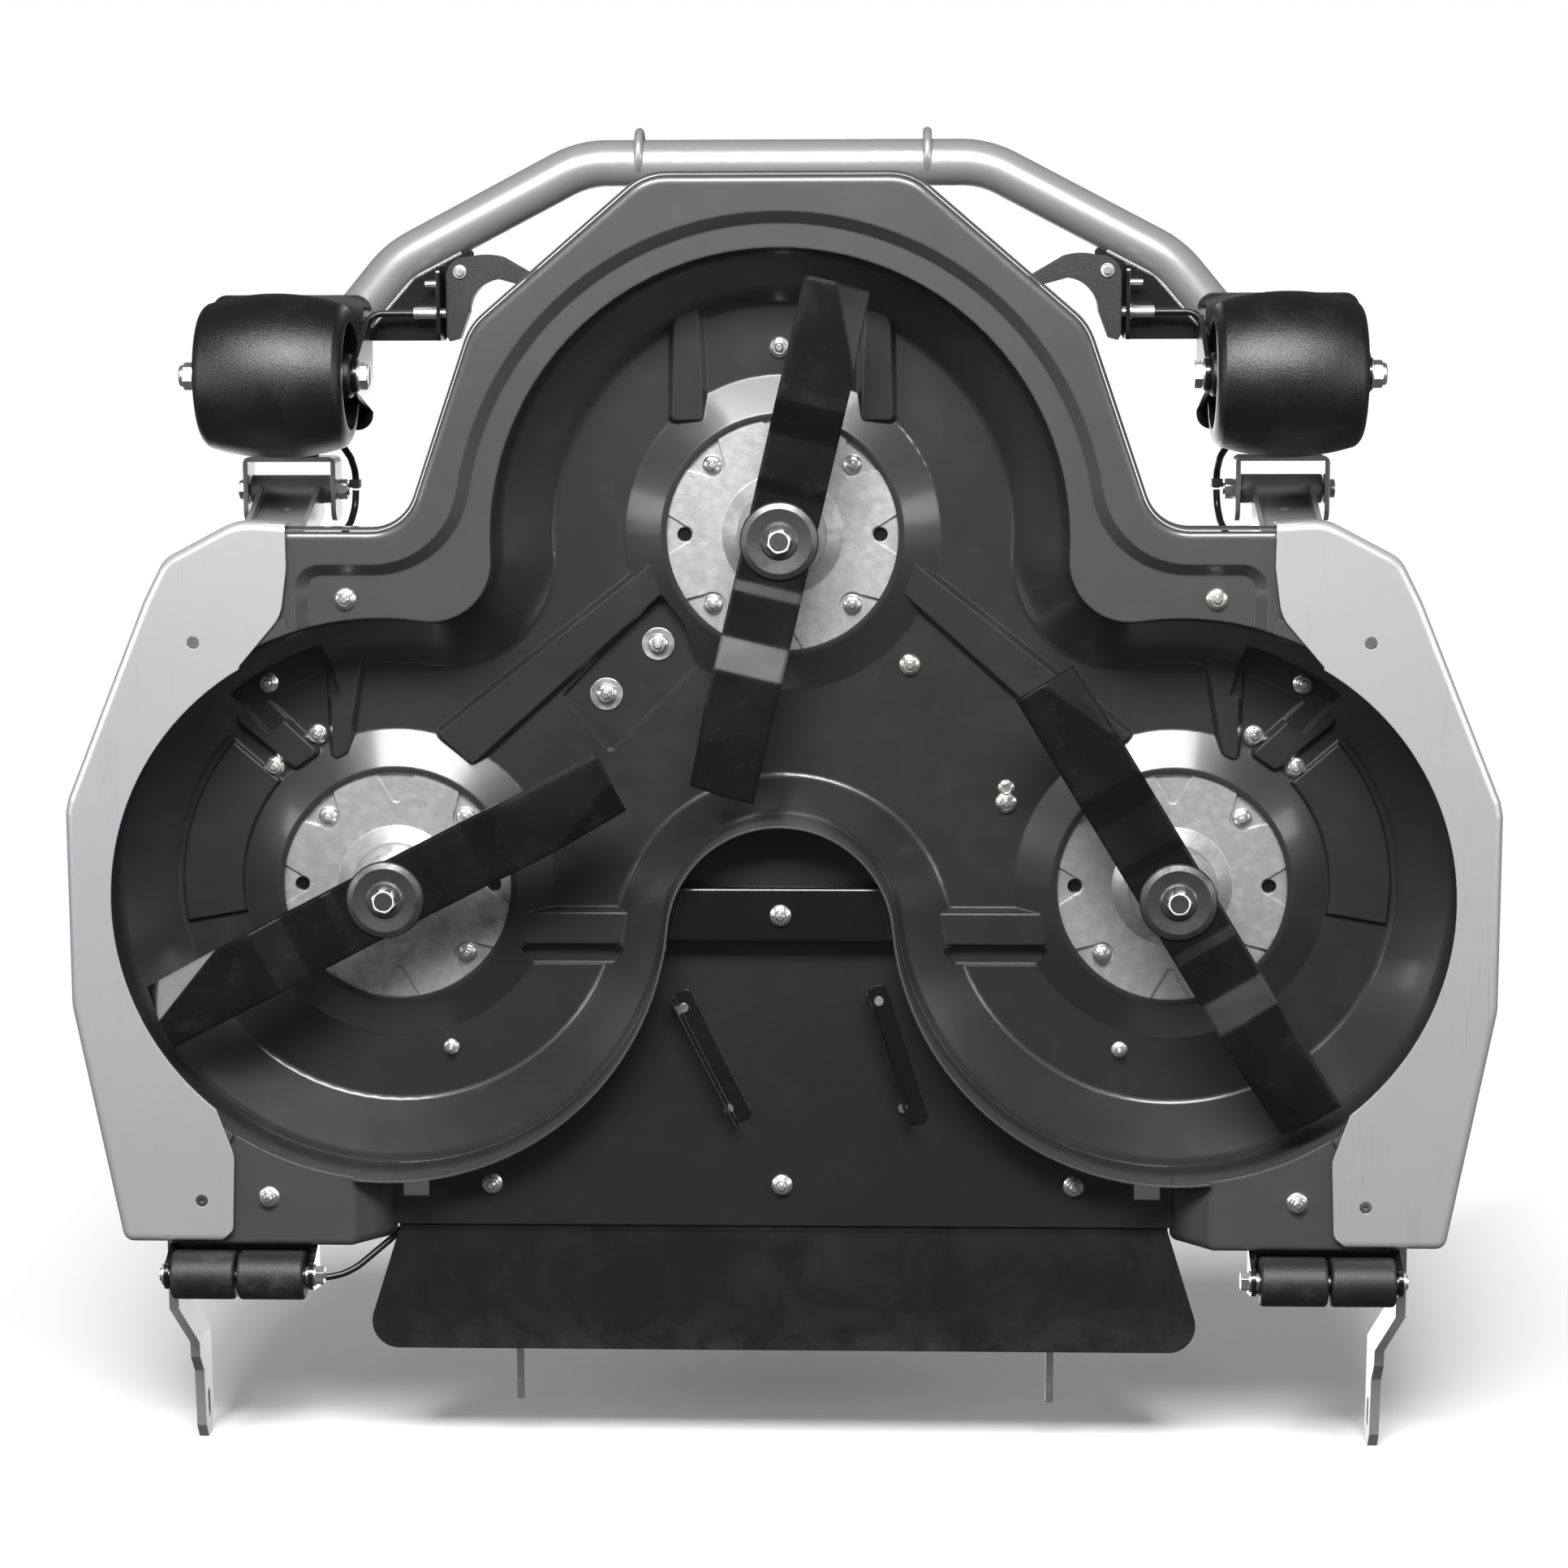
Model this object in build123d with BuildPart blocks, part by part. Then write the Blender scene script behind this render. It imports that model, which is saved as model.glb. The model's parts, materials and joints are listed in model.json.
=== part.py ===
from build123d import *
from math import asin, atan2, cos, degrees, hypot, radians, sin, sqrt
import os

# Lawn mower deck with three blades, a hinged front wheel frame and rear rollers.
# Millimetres. +Z up, +Y forward, +X to the machine's right. The deck stands on its wheels and rollers.

# Layout in plan, as distances ahead of the line through the two rear spindles
SPINDLE_X = 401.0
FRONT_SPINDLE_AHEAD = 363.4
TUBE_AHEAD = 739.0
TUBE_R = 24.15
HOOK_REACH = 12.0
ARM_TIP_BEHIND = 595.0

# Heights above the floor
RIM_Z = 30.0
FLANGE_Z = 38.0
SHELF_Z = 52.0
CORNER_Z = 38.0
WALL_BEND_Z = 105.0
BOSS_Z = 142.0
CEILING_Z = 158.0
FRAME_Z = 205.0

# Sheet, and the chamber radii at the rim, at the bend of the wall and at the ceiling
SHEET = 3.0
RIM_SIDE_R = 287.0
RIM_FRONT_R = 290.0
RIM_NOTCH_R = 60.0
RIM_CAP_AHEAD = 80.0
BEND_SIDE_R = 285.0
BEND_FRONT_R = 288.0
BEND_NOTCH_R = 62.0
BEND_CAP_AHEAD = 82.0
TOP_SIDE_R = 230.0
TOP_FRONT_R = 235.0
TOP_NOTCH_R = 112.0
TOP_CAP_AHEAD = 113.0
BOSS_R = 124.0
BOSS_TOP_R = 162.0
BOSS_HOLE_R = 118.5

FRONT_REACH = TUBE_AHEAD + TUBE_R + HOOK_REACH
REAR_LINE_Y = (ARM_TIP_BEHIND - FRONT_REACH) / 2


def ahead(distance):
    """Y of a point at a distance ahead of the rear spindle line."""
    return REAR_LINE_Y + distance


def place(points):
    """Plan points given as x and distance ahead, as x and y."""
    return [(x, ahead(y)) for x, y in points]


def mirrored(points):
    """The same plan points on the other side of the deck."""
    return [(-x, y) for x, y in points]


def around(centre, radius, angle):
    """Point on a circle in plan."""
    return (centre[0] + radius * cos(radians(angle)), centre[1] + radius * sin(radians(angle)))


RIGHT_SPINDLE = (SPINDLE_X, ahead(0))
LEFT_SPINDLE = (-SPINDLE_X, ahead(0))
FRONT_SPINDLE = (0, ahead(FRONT_SPINDLE_AHEAD))
SPINDLES = {"front": FRONT_SPINDLE, "right": RIGHT_SPINDLE, "left": LEFT_SPINDLE}
SPINDLE_CENTRES = list(SPINDLES.values())

RIM_RADII = (RIM_SIDE_R, RIM_FRONT_R, RIM_NOTCH_R, RIM_CAP_AHEAD)
BEND_RADII = (BEND_SIDE_R, BEND_FRONT_R, BEND_NOTCH_R, BEND_CAP_AHEAD)
TOP_RADII = (TOP_SIDE_R, TOP_FRONT_R, TOP_NOTCH_R, TOP_CAP_AHEAD)


def wall_radii(z):
    """Side, front and notch radii and the cap's place of the chamber wall at a height."""
    if z <= WALL_BEND_Z:
        low, high, share = RIM_RADII, BEND_RADII, (z - RIM_Z) / (WALL_BEND_Z - RIM_Z)
    else:
        low, high, share = BEND_RADII, TOP_RADII, (z - WALL_BEND_Z) / (CEILING_Z - WALL_BEND_Z)
    return [a + (b - a) * share for a, b in zip(low, high)]


def chamber_arcs(radii, grow):
    """Arcs of half the chamber line: centre x, centre y, radius, first angle, last angle."""
    side_r = radii[0] + grow
    front_r = radii[1] + grow
    notch_r = radii[2] - grow
    cap_ahead = radii[3] - grow
    spacing = hypot(SPINDLE_X, FRONT_SPINDLE_AHEAD)
    along = ((front_r + notch_r) ** 2 - (side_r + notch_r) ** 2 + spacing**2) / (2 * spacing)
    off = sqrt((front_r + notch_r) ** 2 - along**2)
    ux, uy = SPINDLE_X / spacing, -FRONT_SPINDLE_AHEAD / spacing
    notch_x = ux * along - uy * off
    notch_y = FRONT_SPINDLE_AHEAD + uy * along + ux * off
    reach = side_r + cap_ahead
    cap_y = (reach**2 - SPINDLE_X**2) / (2 * reach)
    cap_angle = degrees(atan2(-cap_y, SPINDLE_X))
    side_angle = degrees(atan2(notch_y, notch_x - SPINDLE_X))
    front_angle = degrees(atan2(notch_y - FRONT_SPINDLE_AHEAD, notch_x))
    return [
        (0, cap_y, cap_ahead - cap_y, 90, cap_angle),
        (SPINDLE_X, 0, side_r, 180 + cap_angle, 360 + side_angle),
        (notch_x, notch_y, notch_r, side_angle + 180, front_angle + 180),
        (0, FRONT_SPINDLE_AHEAD, front_r, front_angle, 90),
    ]


def chamber_outline(z, radii, grow):
    """Closed chamber line as a face at a height."""
    with BuildSketch(Plane.XY.offset(z)) as sketch:
        with BuildLine():
            for x, y, r, first, last in chamber_arcs(radii, grow):
                points = [around((x, ahead(y)), r, a) for a in (first, (first + last) / 2, last)]
                ThreePointArc(*points)
                ThreePointArc(*mirrored(points))
        make_face()
    return sketch.sketch


def chamber_sections(bottom, top, grow):
    """Sections of the chamber wall from a height up to the ceiling."""
    sections = [chamber_outline(bottom, wall_radii(bottom), grow)]
    if bottom < WALL_BEND_Z:
        sections.append(chamber_outline(WALL_BEND_Z, BEND_RADII, grow))
    sections.append(chamber_outline(top, TOP_RADII, grow))
    return sections


def flat(z, points, corner=0, grow=0):
    """Polygon face at a height, grown and with its corners rounded."""
    with BuildSketch(Plane.XY.offset(z)) as sketch:
        Polygon(*points, align=None)
        if grow:
            offset(amount=grow, kind=Kind.INTERSECTION)
        if corner:
            fillet(sketch.vertices(), corner)
    return sketch.sketch


def sector(z, centre, inner, outer, first, last):
    """Part of a ring as a face at a height."""
    middle = (first + last) / 2
    with BuildSketch(Plane.XY.offset(z)) as sketch:
        with BuildLine():
            ThreePointArc(*[around(centre, outer, a) for a in (first, middle, last)])
            Line(around(centre, outer, last), around(centre, inner, last))
            ThreePointArc(*[around(centre, inner, a) for a in (last, middle, first)])
            Line(around(centre, inner, first), around(centre, outer, first))
        make_face()
    return sketch.sketch


def both(points):
    """A plan polygon and its mirror image."""
    return [points, mirrored(points)]


# Ribs pressed into the ceiling: plan outlines, each standing below it
DIAGONAL_RIB = place([(128, 339), (357, 157), (322, 126), (122, 305)])
STEEP_RIB = place([(468, 262), (466, 130), (452, 138), (433, 246)])
RADIAL_RIB = place([(552, 203), (483, 138), (506, 122), (566, 172)])
CROSS_RIB = place([(150, -30), (268, -30), (272, -62), (150, -62)])
CROSS_SLOT = place([(163, -66), (276, -66), (262, -85), (178, -85)])
FRONT_RIDGE = place([(112, 480), (110, 575), (99, 606), (86, 606), (83, 550), (81, 480)])
MOUNT_POCKET = place([(229, 196), (179, 137), (88, 229), (100, 270), (125, 303)])
RIBS = both(DIAGONAL_RIB) + both(STEEP_RIB) + both(CROSS_RIB) + both(FRONT_RIDGE) + both(RADIAL_RIB)
RIB_DEPTH = 10.0
POCKET_RISE = 5.0
SECTOR_POCKETS = [(RIGHT_SPINDLE, 50, 74), (LEFT_SPINDLE, 106, 130)]
SECTOR_POCKET_DROP = 3.0
SECTOR_PADS = [(RIGHT_SPINDLE, -10, 41), (LEFT_SPINDLE, 139, 190)]
PAD_DEPTH = 6.0

# The space under the shell
with BuildPart() as chamber_void:
    loft(sections=chamber_sections(RIM_Z - 10, CEILING_Z, 0), ruled=True)
    fillet(chamber_void.edges().filter_by_position(Axis.Z, WALL_BEND_Z - 0.1, WALL_BEND_Z + 0.1), 22)
    fillet(chamber_void.faces().sort_by(Axis.Z)[-1].edges(), 7)
    for x, y in SPINDLE_CENTRES:
        with Locations((x, y, BOSS_Z)):
            Cone(BOSS_R, BOSS_TOP_R, CEILING_Z - BOSS_Z, align=(Align.CENTER, Align.CENTER, Align.MIN),
                 mode=Mode.SUBTRACT)
    rings = [e for e in chamber_void.edges().filter_by(GeomType.CIRCLE) if e.length > 100]
    fillet([e for e in rings if abs(e.radius - BOSS_TOP_R) < 0.5], 4)
    rings = [e for e in chamber_void.edges().filter_by(GeomType.CIRCLE) if e.length > 100]
    fillet([e for e in rings if abs(e.radius - BOSS_R) < 0.5], 4)
    for rib in RIBS:
        extrude(flat(CEILING_Z - RIB_DEPTH, rib, 4), amount=RIB_DEPTH + 2, taper=-28, mode=Mode.SUBTRACT)
    for centre, first, last in SECTOR_PADS:
        extrude(sector(CEILING_Z - PAD_DEPTH, centre, 164, 224, first, last), amount=PAD_DEPTH + 2, taper=-25,
                mode=Mode.SUBTRACT)
    extrude(flat(BOSS_Z, MOUNT_POCKET, 5), amount=CEILING_Z + POCKET_RISE - BOSS_Z)
    for centre, first, last in SECTOR_POCKETS:
        extrude(sector(CEILING_Z - 30, centre, 206, 268, first, last), amount=30 - SECTOR_POCKET_DROP)
    for slot in both(CROSS_SLOT):
        extrude(flat(BOSS_Z, slot, 3), amount=CEILING_Z + POCKET_RISE - BOSS_Z)

# Front flange with its raised lip, rear corners with theirs
FLANGE_LIP = 25.0
LIP_FILLET = 12.0
FRONT_EDGE = 727.0
FLANGE_CHAIN = [(132, FRONT_EDGE), (306, 578), (375, 378), (498, 378)]
FLANGE_TAIL = [(547, 373), (596, 306), (604, 220), (480, 120)]
TERRACE_R = 324.5
TERRACE_BLEND = 87.0
TERRACE_AHEAD = 341.0
TERRACE_X = 484.0
STEP_SHIFT = 11.5
REAR_EDGE = -358.0
CORNER_X = 436.0
CORNER_TOP = 82.0
TUNNEL_X = 398.0
TUNNEL_TOP = 100.0


def flange_outline(z, grow):
    """Front flange as a face at a height."""
    half = place(FLANGE_CHAIN + FLANGE_TAIL)
    with BuildSketch(Plane.XY.offset(z)) as sketch:
        Polygon(*half, *reversed(mirrored(half)), align=None)
        for index, corner in ((0, 60), (1, 60), (2, 45), (4, 20), (5, 30)):
            for side in (1, -1):
                x, y = half[index]
                fillet(sketch.vertices().sort_by_distance((side * x, y, z))[0], corner)
        if grow:
            offset(amount=grow, kind=Kind.INTERSECTION)
    return sketch.sketch


def terrace_outline(z, grow):
    """Edge of the raised shelf round the chambers as a face at a height."""
    big = TERRACE_R + grow
    blend = TERRACE_BLEND - grow
    line = TERRACE_AHEAD + grow
    end = TERRACE_X + grow
    corner = 25 + grow
    rise = line + blend - FRONT_SPINDLE_AHEAD
    blend_x = sqrt((big + blend) ** 2 - rise**2)
    turn = degrees(atan2(rise, blend_x))
    blend_centre = (blend_x, ahead(line + blend))
    end_centre = (end - corner, ahead(line - corner))
    arcs = [
        [around(FRONT_SPINDLE, big, a) for a in (90, (90 + turn) / 2, turn)],
        [around(blend_centre, blend, a) for a in (180 + turn, 225 + turn / 2, 270)],
        [around(end_centre, corner, a) for a in (90, 45, 0)],
    ]
    with BuildSketch(Plane.XY.offset(z)) as sketch:
        with BuildLine():
            for points in arcs:
                ThreePointArc(*points)
                ThreePointArc(*mirrored(points))
            for side in (1, -1):
                Line((side * blend_x, ahead(line)), (side * (end - corner), ahead(line)))
                Line((side * end, ahead(line - corner)), (side * end, ahead(200)))
            Line((-end, ahead(200)), (end, ahead(200)))
        make_face()
    return sketch.sketch


def corner_outline(z, inner_x, shrink):
    """Rear corner of the shell as a face at a height."""
    points = [(inner_x + shrink, -200), (inner_x + shrink, REAR_EDGE + shrink),
              (612 - shrink, REAR_EDGE + shrink), (620 - shrink, -200)]
    return flat(z, place(points), 10 - shrink)


# Fastener places in plan
CEILING_NUTS = place([(-526.7, 122.9), (528.7, 122.6), (-130.3, 228.9), (-230, 86), (2.9, 553.2)])
POCKET_NUTS = place([(129, 249.6), (183, 197.5)])
SECTOR_NUTS = place([(533.4, 210), (-533.4, 210)])
INNER_NUTS = place([(484, 155.7), (-484, 155.7)])
SMALL_NUTS = place([(349.4, -174.6), (-349.4, -174.6)])
SHELF_NUTS = place([(435, 306), (-435, 306)])
CORNER_NUTS = place([(523.4, -306), (-523.4, -306)])
FLAP_NUTS = place([(299.2, -300.5), (0, -300.5), (-299.2, -300.5)])
STUD_R = 5.0
MOUNT_STUD_R = 175.0
MOUNT_ANGLES = {"front": (0, 180, 270), "right": (0, 180, 270), "left": (0, 180, 270)}
MOUNT_STUDS = [around(SPINDLES[name], MOUNT_STUD_R, a) for name in SPINDLES for a in MOUNT_ANGLES[name]]

with BuildPart() as corner_tray:
    loft(sections=[corner_outline(CORNER_Z, CORNER_X, 0), corner_outline(CORNER_TOP, TUNNEL_X, 0)],
         ruled=True)
    fillet(corner_tray.faces().sort_by(Axis.Z)[0].edges(), 7)
    loft(sections=[corner_outline(CORNER_Z + SHEET, CORNER_X - 1, SHEET),
                   corner_outline(CORNER_TOP + SHEET, TUNNEL_X - 1, SHEET)], ruled=True, mode=Mode.SUBTRACT)

with BuildPart() as deck_shell:
    # Front flange and lip
    extrude(flange_outline(FLANGE_Z, 0), amount=FLANGE_LIP)
    low_edges = deck_shell.faces().sort_by(Axis.Z)[0].edges()
    fillet([e for e in low_edges if e.center().Y > ahead(377.5)], LIP_FILLET)
    extrude(flange_outline(FLANGE_Z + SHEET, -SHEET), amount=FLANGE_LIP, mode=Mode.SUBTRACT)
    # Shelf
    loft(sections=[terrace_outline(FLANGE_Z, SHEET),
                   terrace_outline(SHELF_Z + SHEET, SHEET - STEP_SHIFT - 2)], ruled=True)
    # Chambers
    loft(sections=chamber_sections(FLANGE_Z, CEILING_Z + SHEET, SHEET), ruled=True)
    # Dishes and grooves of the top side
    for x, y in SPINDLE_CENTRES:
        with Locations((x, y, BOSS_Z + SHEET)):
            Cone(BOSS_R - 1.5, BOSS_TOP_R + 0.9, CEILING_Z - BOSS_Z + 1,
                 align=(Align.CENTER, Align.CENTER, Align.MIN), mode=Mode.SUBTRACT)
    for rib in RIBS:
        extrude(flat(CEILING_Z - RIB_DEPTH + SHEET, rib, 1.5, -2.4), amount=RIB_DEPTH + 10, taper=-20,
                mode=Mode.SUBTRACT)
    # Bumps above the pockets
    for centre, first, last in SECTOR_POCKETS:
        extrude(sector(CEILING_Z - 40, centre, 200, 271, first - 0.7, last + 0.7), amount=40)
    extrude(flat(CEILING_Z - RIB_DEPTH, MOUNT_POCKET, 8, SHEET), amount=RIB_DEPTH + POCKET_RISE + SHEET)
    for slot in both(CROSS_SLOT):
        extrude(flat(CEILING_Z - RIB_DEPTH, slot, 5, SHEET), amount=RIB_DEPTH + POCKET_RISE + SHEET)
    # Rear opening
    with Locations((0, (ahead(REAR_EDGE - 5) + ahead(100)) / 2, (TUNNEL_TOP + RIM_Z - 10) / 2)):
        Box(2 * TUNNEL_X, 105 - REAR_EDGE, TUNNEL_TOP - RIM_Z + 10, mode=Mode.SUBTRACT)
    add(corner_tray.part)
    mirror(corner_tray.part, about=Plane.YZ)
    # Rim that carries the skirts
    for centre, first, last in ((RIGHT_SPINDLE, -57, 72), (LEFT_SPINDLE, 108, 237)):
        extrude(sector(RIM_Z + SHEET, centre, 280, 303, first, last), amount=SHEET)
        extrude(sector(RIM_Z + SHEET, centre, 280, 290, first, last), amount=8)
    # Space inside
    loft(sections=[terrace_outline(RIM_Z, 6.6), terrace_outline(SHELF_Z, -STEP_SHIFT)], ruled=True,
         mode=Mode.SUBTRACT)
    add(chamber_void.part, mode=Mode.SUBTRACT)
    # Holes
    with BuildSketch(Plane.XY.offset(RIM_Z)):
        with Locations(*SPINDLE_CENTRES):
            Circle(BOSS_HOLE_R)
        with Locations(*CEILING_NUTS, *POCKET_NUTS, *SECTOR_NUTS, *INNER_NUTS, *SHELF_NUTS, *CORNER_NUTS):
            Circle(STUD_R + 0.3)
        with Locations(*SMALL_NUTS):
            Circle(3.3)
    extrude(amount=CEILING_Z + 10, mode=Mode.SUBTRACT)
    # Weld studs for the spindle mounts
    with BuildSketch(Plane.XY.offset(CEILING_Z + 1)):
        with Locations(*MOUNT_STUDS):
            Circle(STUD_R)
    extrude(amount=20)

# Wall that closes the rear opening for mulching
PLUG_SHEET = 2.5
with BuildPart() as mulch_plug:
    low = chamber_outline(RIM_Z, RIM_RADII, PLUG_SHEET)
    high = chamber_outline(TUNNEL_TOP, wall_radii(TUNNEL_TOP), PLUG_SHEET)
    loft(sections=[low, high], ruled=True)
    with Locations((0, ahead(-100), RIM_Z)):
        Box(2 * CORNER_X - 1, 380, 200, mode=Mode.INTERSECT)
    low = chamber_outline(RIM_Z - 1, wall_radii(RIM_Z - 1), 0)
    high = chamber_outline(TUNNEL_TOP + 1, wall_radii(TUNNEL_TOP + 1), 0)
    loft(sections=[low, high], ruled=True, mode=Mode.SUBTRACT)
    with Locations((371, ahead(-294.4), RIM_Z + 1.5), (-371, ahead(-294.4), RIM_Z + 1.5)):
        Box(26, 15.2, 3)
    add(deck_shell.part, mode=Mode.SUBTRACT)

# Curved plate in the rear opening, with its rear edge flat for the flap
PLATE_SHEET = 2.5
PLATE_REAR_Z = 78.0
PLATE_FRONT_Z = 96.0
PLATE_MARGIN = 3.0
PLATE_REAR = ahead(-344)
PLATE_BEND = ahead(-285)
PLATE_FRONT = ahead(90)
PLATE_ARC_R = ((PLATE_FRONT - PLATE_BEND) ** 2 + (PLATE_FRONT_Z - PLATE_REAR_Z) ** 2) / (
    2 * (PLATE_FRONT_Z - PLATE_REAR_Z))


def plate_z(y):
    """Height of the curved plate's underside."""
    run = max(y - PLATE_BEND, 0)
    return PLATE_REAR_Z + PLATE_ARC_R - sqrt(PLATE_ARC_R**2 - run**2)


def plate_layer(below, above):
    """Side profile of the layer between two levels measured from the plate's underside."""
    middle = (PLATE_BEND + PLATE_FRONT) / 2
    with BuildSketch(Plane.YZ.offset(-TUNNEL_X - PLATE_MARGIN)) as sketch:
        with BuildLine():
            low = [(y, plate_z(y) + below) for y in (PLATE_REAR, PLATE_BEND, middle, PLATE_FRONT)]
            high = [(y, plate_z(y) + above) for y in (PLATE_REAR, PLATE_BEND, middle, PLATE_FRONT)]
            Polyline(low[3], high[3])
            Polyline(high[1], high[0], low[0], low[1])
            ThreePointArc(low[1], low[2], low[3])
            ThreePointArc(high[1], high[2], high[3])
        make_face()
    return sketch.sketch


PLATE_SPAN = 2 * (TUNNEL_X + PLATE_MARGIN)


def plug_form():
    """Sections of the solid that the closing wall wraps."""
    return [chamber_outline(RIM_Z, RIM_RADII, PLUG_SHEET),
            chamber_outline(TUNNEL_TOP, wall_radii(TUNNEL_TOP), PLUG_SHEET)]


with BuildPart() as chute_plate:
    extrude(plate_layer(0, PLATE_SHEET), amount=PLATE_SPAN)
    loft(sections=plug_form(), ruled=True, mode=Mode.SUBTRACT)
    add(deck_shell.part, mode=Mode.SUBTRACT)
    with BuildSketch(Plane.XY.offset(RIM_Z)):
        with Locations(*FLAP_NUTS):
            Circle(STUD_R + 0.3)
    extrude(amount=80, mode=Mode.SUBTRACT)
    add(mulch_plug.part, mode=Mode.SUBTRACT)

# Channel welded across the plug
CROSSBAR_Z = 55.0
with BuildPart() as plug_crossbar:
    with Locations((0, ahead(-15), CROSSBAR_Z)):
        Box(272, 56, 12, align=(Align.CENTER, Align.CENTER, Align.MIN))
    fillet([e for e in plug_crossbar.faces().sort_by(Axis.Z)[0].edges().filter_by(Axis.X)], 4)
    with Locations((0, ahead(-15), CROSSBAR_Z + 2.5)):
        Box(280, 51, 12, align=(Align.CENTER, Align.CENTER, Align.MIN), mode=Mode.SUBTRACT)
    loft(sections=plug_form(), ruled=True, mode=Mode.SUBTRACT)
    with Locations((0, ahead(-15), CROSSBAR_Z)):
        Cylinder(STUD_R + 0.3, 10, mode=Mode.SUBTRACT)

# Two angle fins riveted under the plate
FINS = [((106.6, -100.3), (40.6, -232.6)), ((-92.8, -93.6), (-138.7, -235.0))]
FIN_RIVETS = [(100.0, -115.5), (54.5, -220.3), (-99.4, -107.9), (-124.0, -218.8)]
FIN_DEPTH = 26.0
FIN_SHEET = 2.4


def fin_leg(z, shift, width, corner):
    """Plan of one leg of both fins as a face at a height."""
    with BuildSketch(Plane.XY.offset(z)) as sketch:
        for (x1, y1), (x2, y2) in FINS:
            lean = degrees(atan2(y1 - y2, x1 - x2))
            with Locations(Location(((x1 + x2) / 2, ahead((y1 + y2) / 2)), lean)):
                with Locations((0, shift)):
                    RectangleRounded(hypot(x1 - x2, y1 - y2), width, corner)
    return sketch.sketch


with BuildPart() as chute_fins:
    extrude(fin_leg(PLATE_REAR_Z - 10, 3, 20, 7), amount=60)
    extrude(plate_layer(-FIN_SHEET, 0), amount=PLATE_SPAN, mode=Mode.INTERSECT)
    extrude(fin_leg(PLATE_REAR_Z - FIN_DEPTH, -6, FIN_SHEET, 1.1), amount=60)
    extrude(plate_layer(0, 80), amount=PLATE_SPAN, mode=Mode.SUBTRACT)
with BuildPart() as fin_rivets:
    for x, y in place(FIN_RIVETS):
        with Locations((x, y, plate_z(y) - FIN_SHEET - 2.5)):
            Cylinder(4.8, 6, align=(Align.CENTER, Align.CENTER, Align.MIN))
    extrude(plate_layer(-FIN_SHEET, 80), amount=PLATE_SPAN, mode=Mode.SUBTRACT)
    add(chute_fins.part, mode=Mode.SUBTRACT)

# Rubber flap bolted on top of the plate's rear edge
FLAP_THICK = 6.0
FLAP_CORNER = 28.0
with BuildPart() as rubber_flap:
    top = PLATE_REAR_Z + PLATE_SHEET
    with BuildSketch(Plane.YZ.offset(-430)):
        profile = [(-290, top), (-352, top), (-473.5, top - 13), (-473.5, top - 13 + FLAP_THICK),
                   (-352, top + FLAP_THICK), (-290, top + FLAP_THICK)]
        Polygon(*[(ahead(y), z) for y, z in profile], align=None)
    extrude(amount=860)
    with BuildSketch(Plane.XY.offset(top - 30)) as flap_outline:
        shape = place([(396, -280), (396, -348), (435, -473.5), (-435, -473.5), (-396, -348), (-396, -280)])
        Polygon(*shape, align=None)
        for index, corner in ((1, 20), (2, FLAP_CORNER), (3, FLAP_CORNER), (4, 20)):
            fillet(flap_outline.vertices().sort_by_distance((*shape[index], top - 30))[0], corner)
    extrude(amount=60, mode=Mode.INTERSECT)
    with BuildSketch(Plane.XY.offset(RIM_Z)):
        with Locations(*FLAP_NUTS):
            Circle(STUD_R + 0.3)
    extrude(amount=80, mode=Mode.SUBTRACT)

# Side skirts
SKIRT_SHEET = 3.0
SKIRT_LIP = 28.0
SKIRT_EDGE = [(491, 383), (540, 386), (614, 347), (635, 306), (717.5, 105), (720.5, 90), (720, -107),
              (673, -353)]
SKIRT_BEND_R = 9.0
SKIRT_PLUG = place([(585.5, 263.8)])[0]
SKIRT_SCREW = place([(591.4, -308.7)])[0]


def skirt_block(z, grow):
    """Outer edge of the right skirt as a face at a height, open towards the deck."""
    points = place(SKIRT_EDGE + [(400, -353), (400, 383)])
    with BuildSketch(Plane.XY.offset(z)) as sketch:
        Polygon(*points, align=None)
        for index, corner in ((1, 60), (2, 30), (3, 40), (6, 60), (7, 12)):
            fillet(sketch.vertices().sort_by_distance((*points[index], z))[0], corner)
        if grow:
            offset(amount=grow, kind=Kind.INTERSECTION)
    return sketch.sketch


with BuildPart() as skirt_right:
    extrude(skirt_block(RIM_Z, 0), amount=SKIRT_LIP)
    edges = skirt_right.faces().sort_by(Axis.Z)[0].edges()
    fillet([e for e in edges if e.center().X > 500], SKIRT_BEND_R)
    extrude(skirt_block(RIM_Z + SKIRT_SHEET, -SKIRT_SHEET), amount=SKIRT_LIP, mode=Mode.SUBTRACT)
    with BuildSketch(Plane.XY.offset(RIM_Z)) as inner_side:
        Polygon(*place([(380, 420), (490.6, 420), (490.6, 338), (497, 290), (540, 240), (540, -220),
                        (575, -212), (557, -262), (560, -340), (575, -353), (575, -400), (380, -400)]),
                align=None)
        spots = place([(497, 290), (557, -262), (560, -340)])
        fillet(inner_side.vertices().sort_by_distance((*spots[0], RIM_Z))[0], 40)
        fillet(inner_side.vertices().sort_by_distance((*spots[1], RIM_Z))[0], 30)
        fillet(inner_side.vertices().sort_by_distance((*spots[2], RIM_Z))[0], 10)
        with Locations(RIGHT_SPINDLE):
            Circle(275)
    extrude(amount=60, mode=Mode.SUBTRACT)
    with Locations((*SKIRT_PLUG, RIM_Z), (*SKIRT_SCREW, RIM_Z)):
        Cylinder(6.2, 20, mode=Mode.SUBTRACT)
    with Locations((592, ahead(-348), 46)):
        Box(64, 16, 26, mode=Mode.SUBTRACT)
with BuildPart() as skirt_left:
    mirror(skirt_right.part, about=Plane.YZ)

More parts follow.
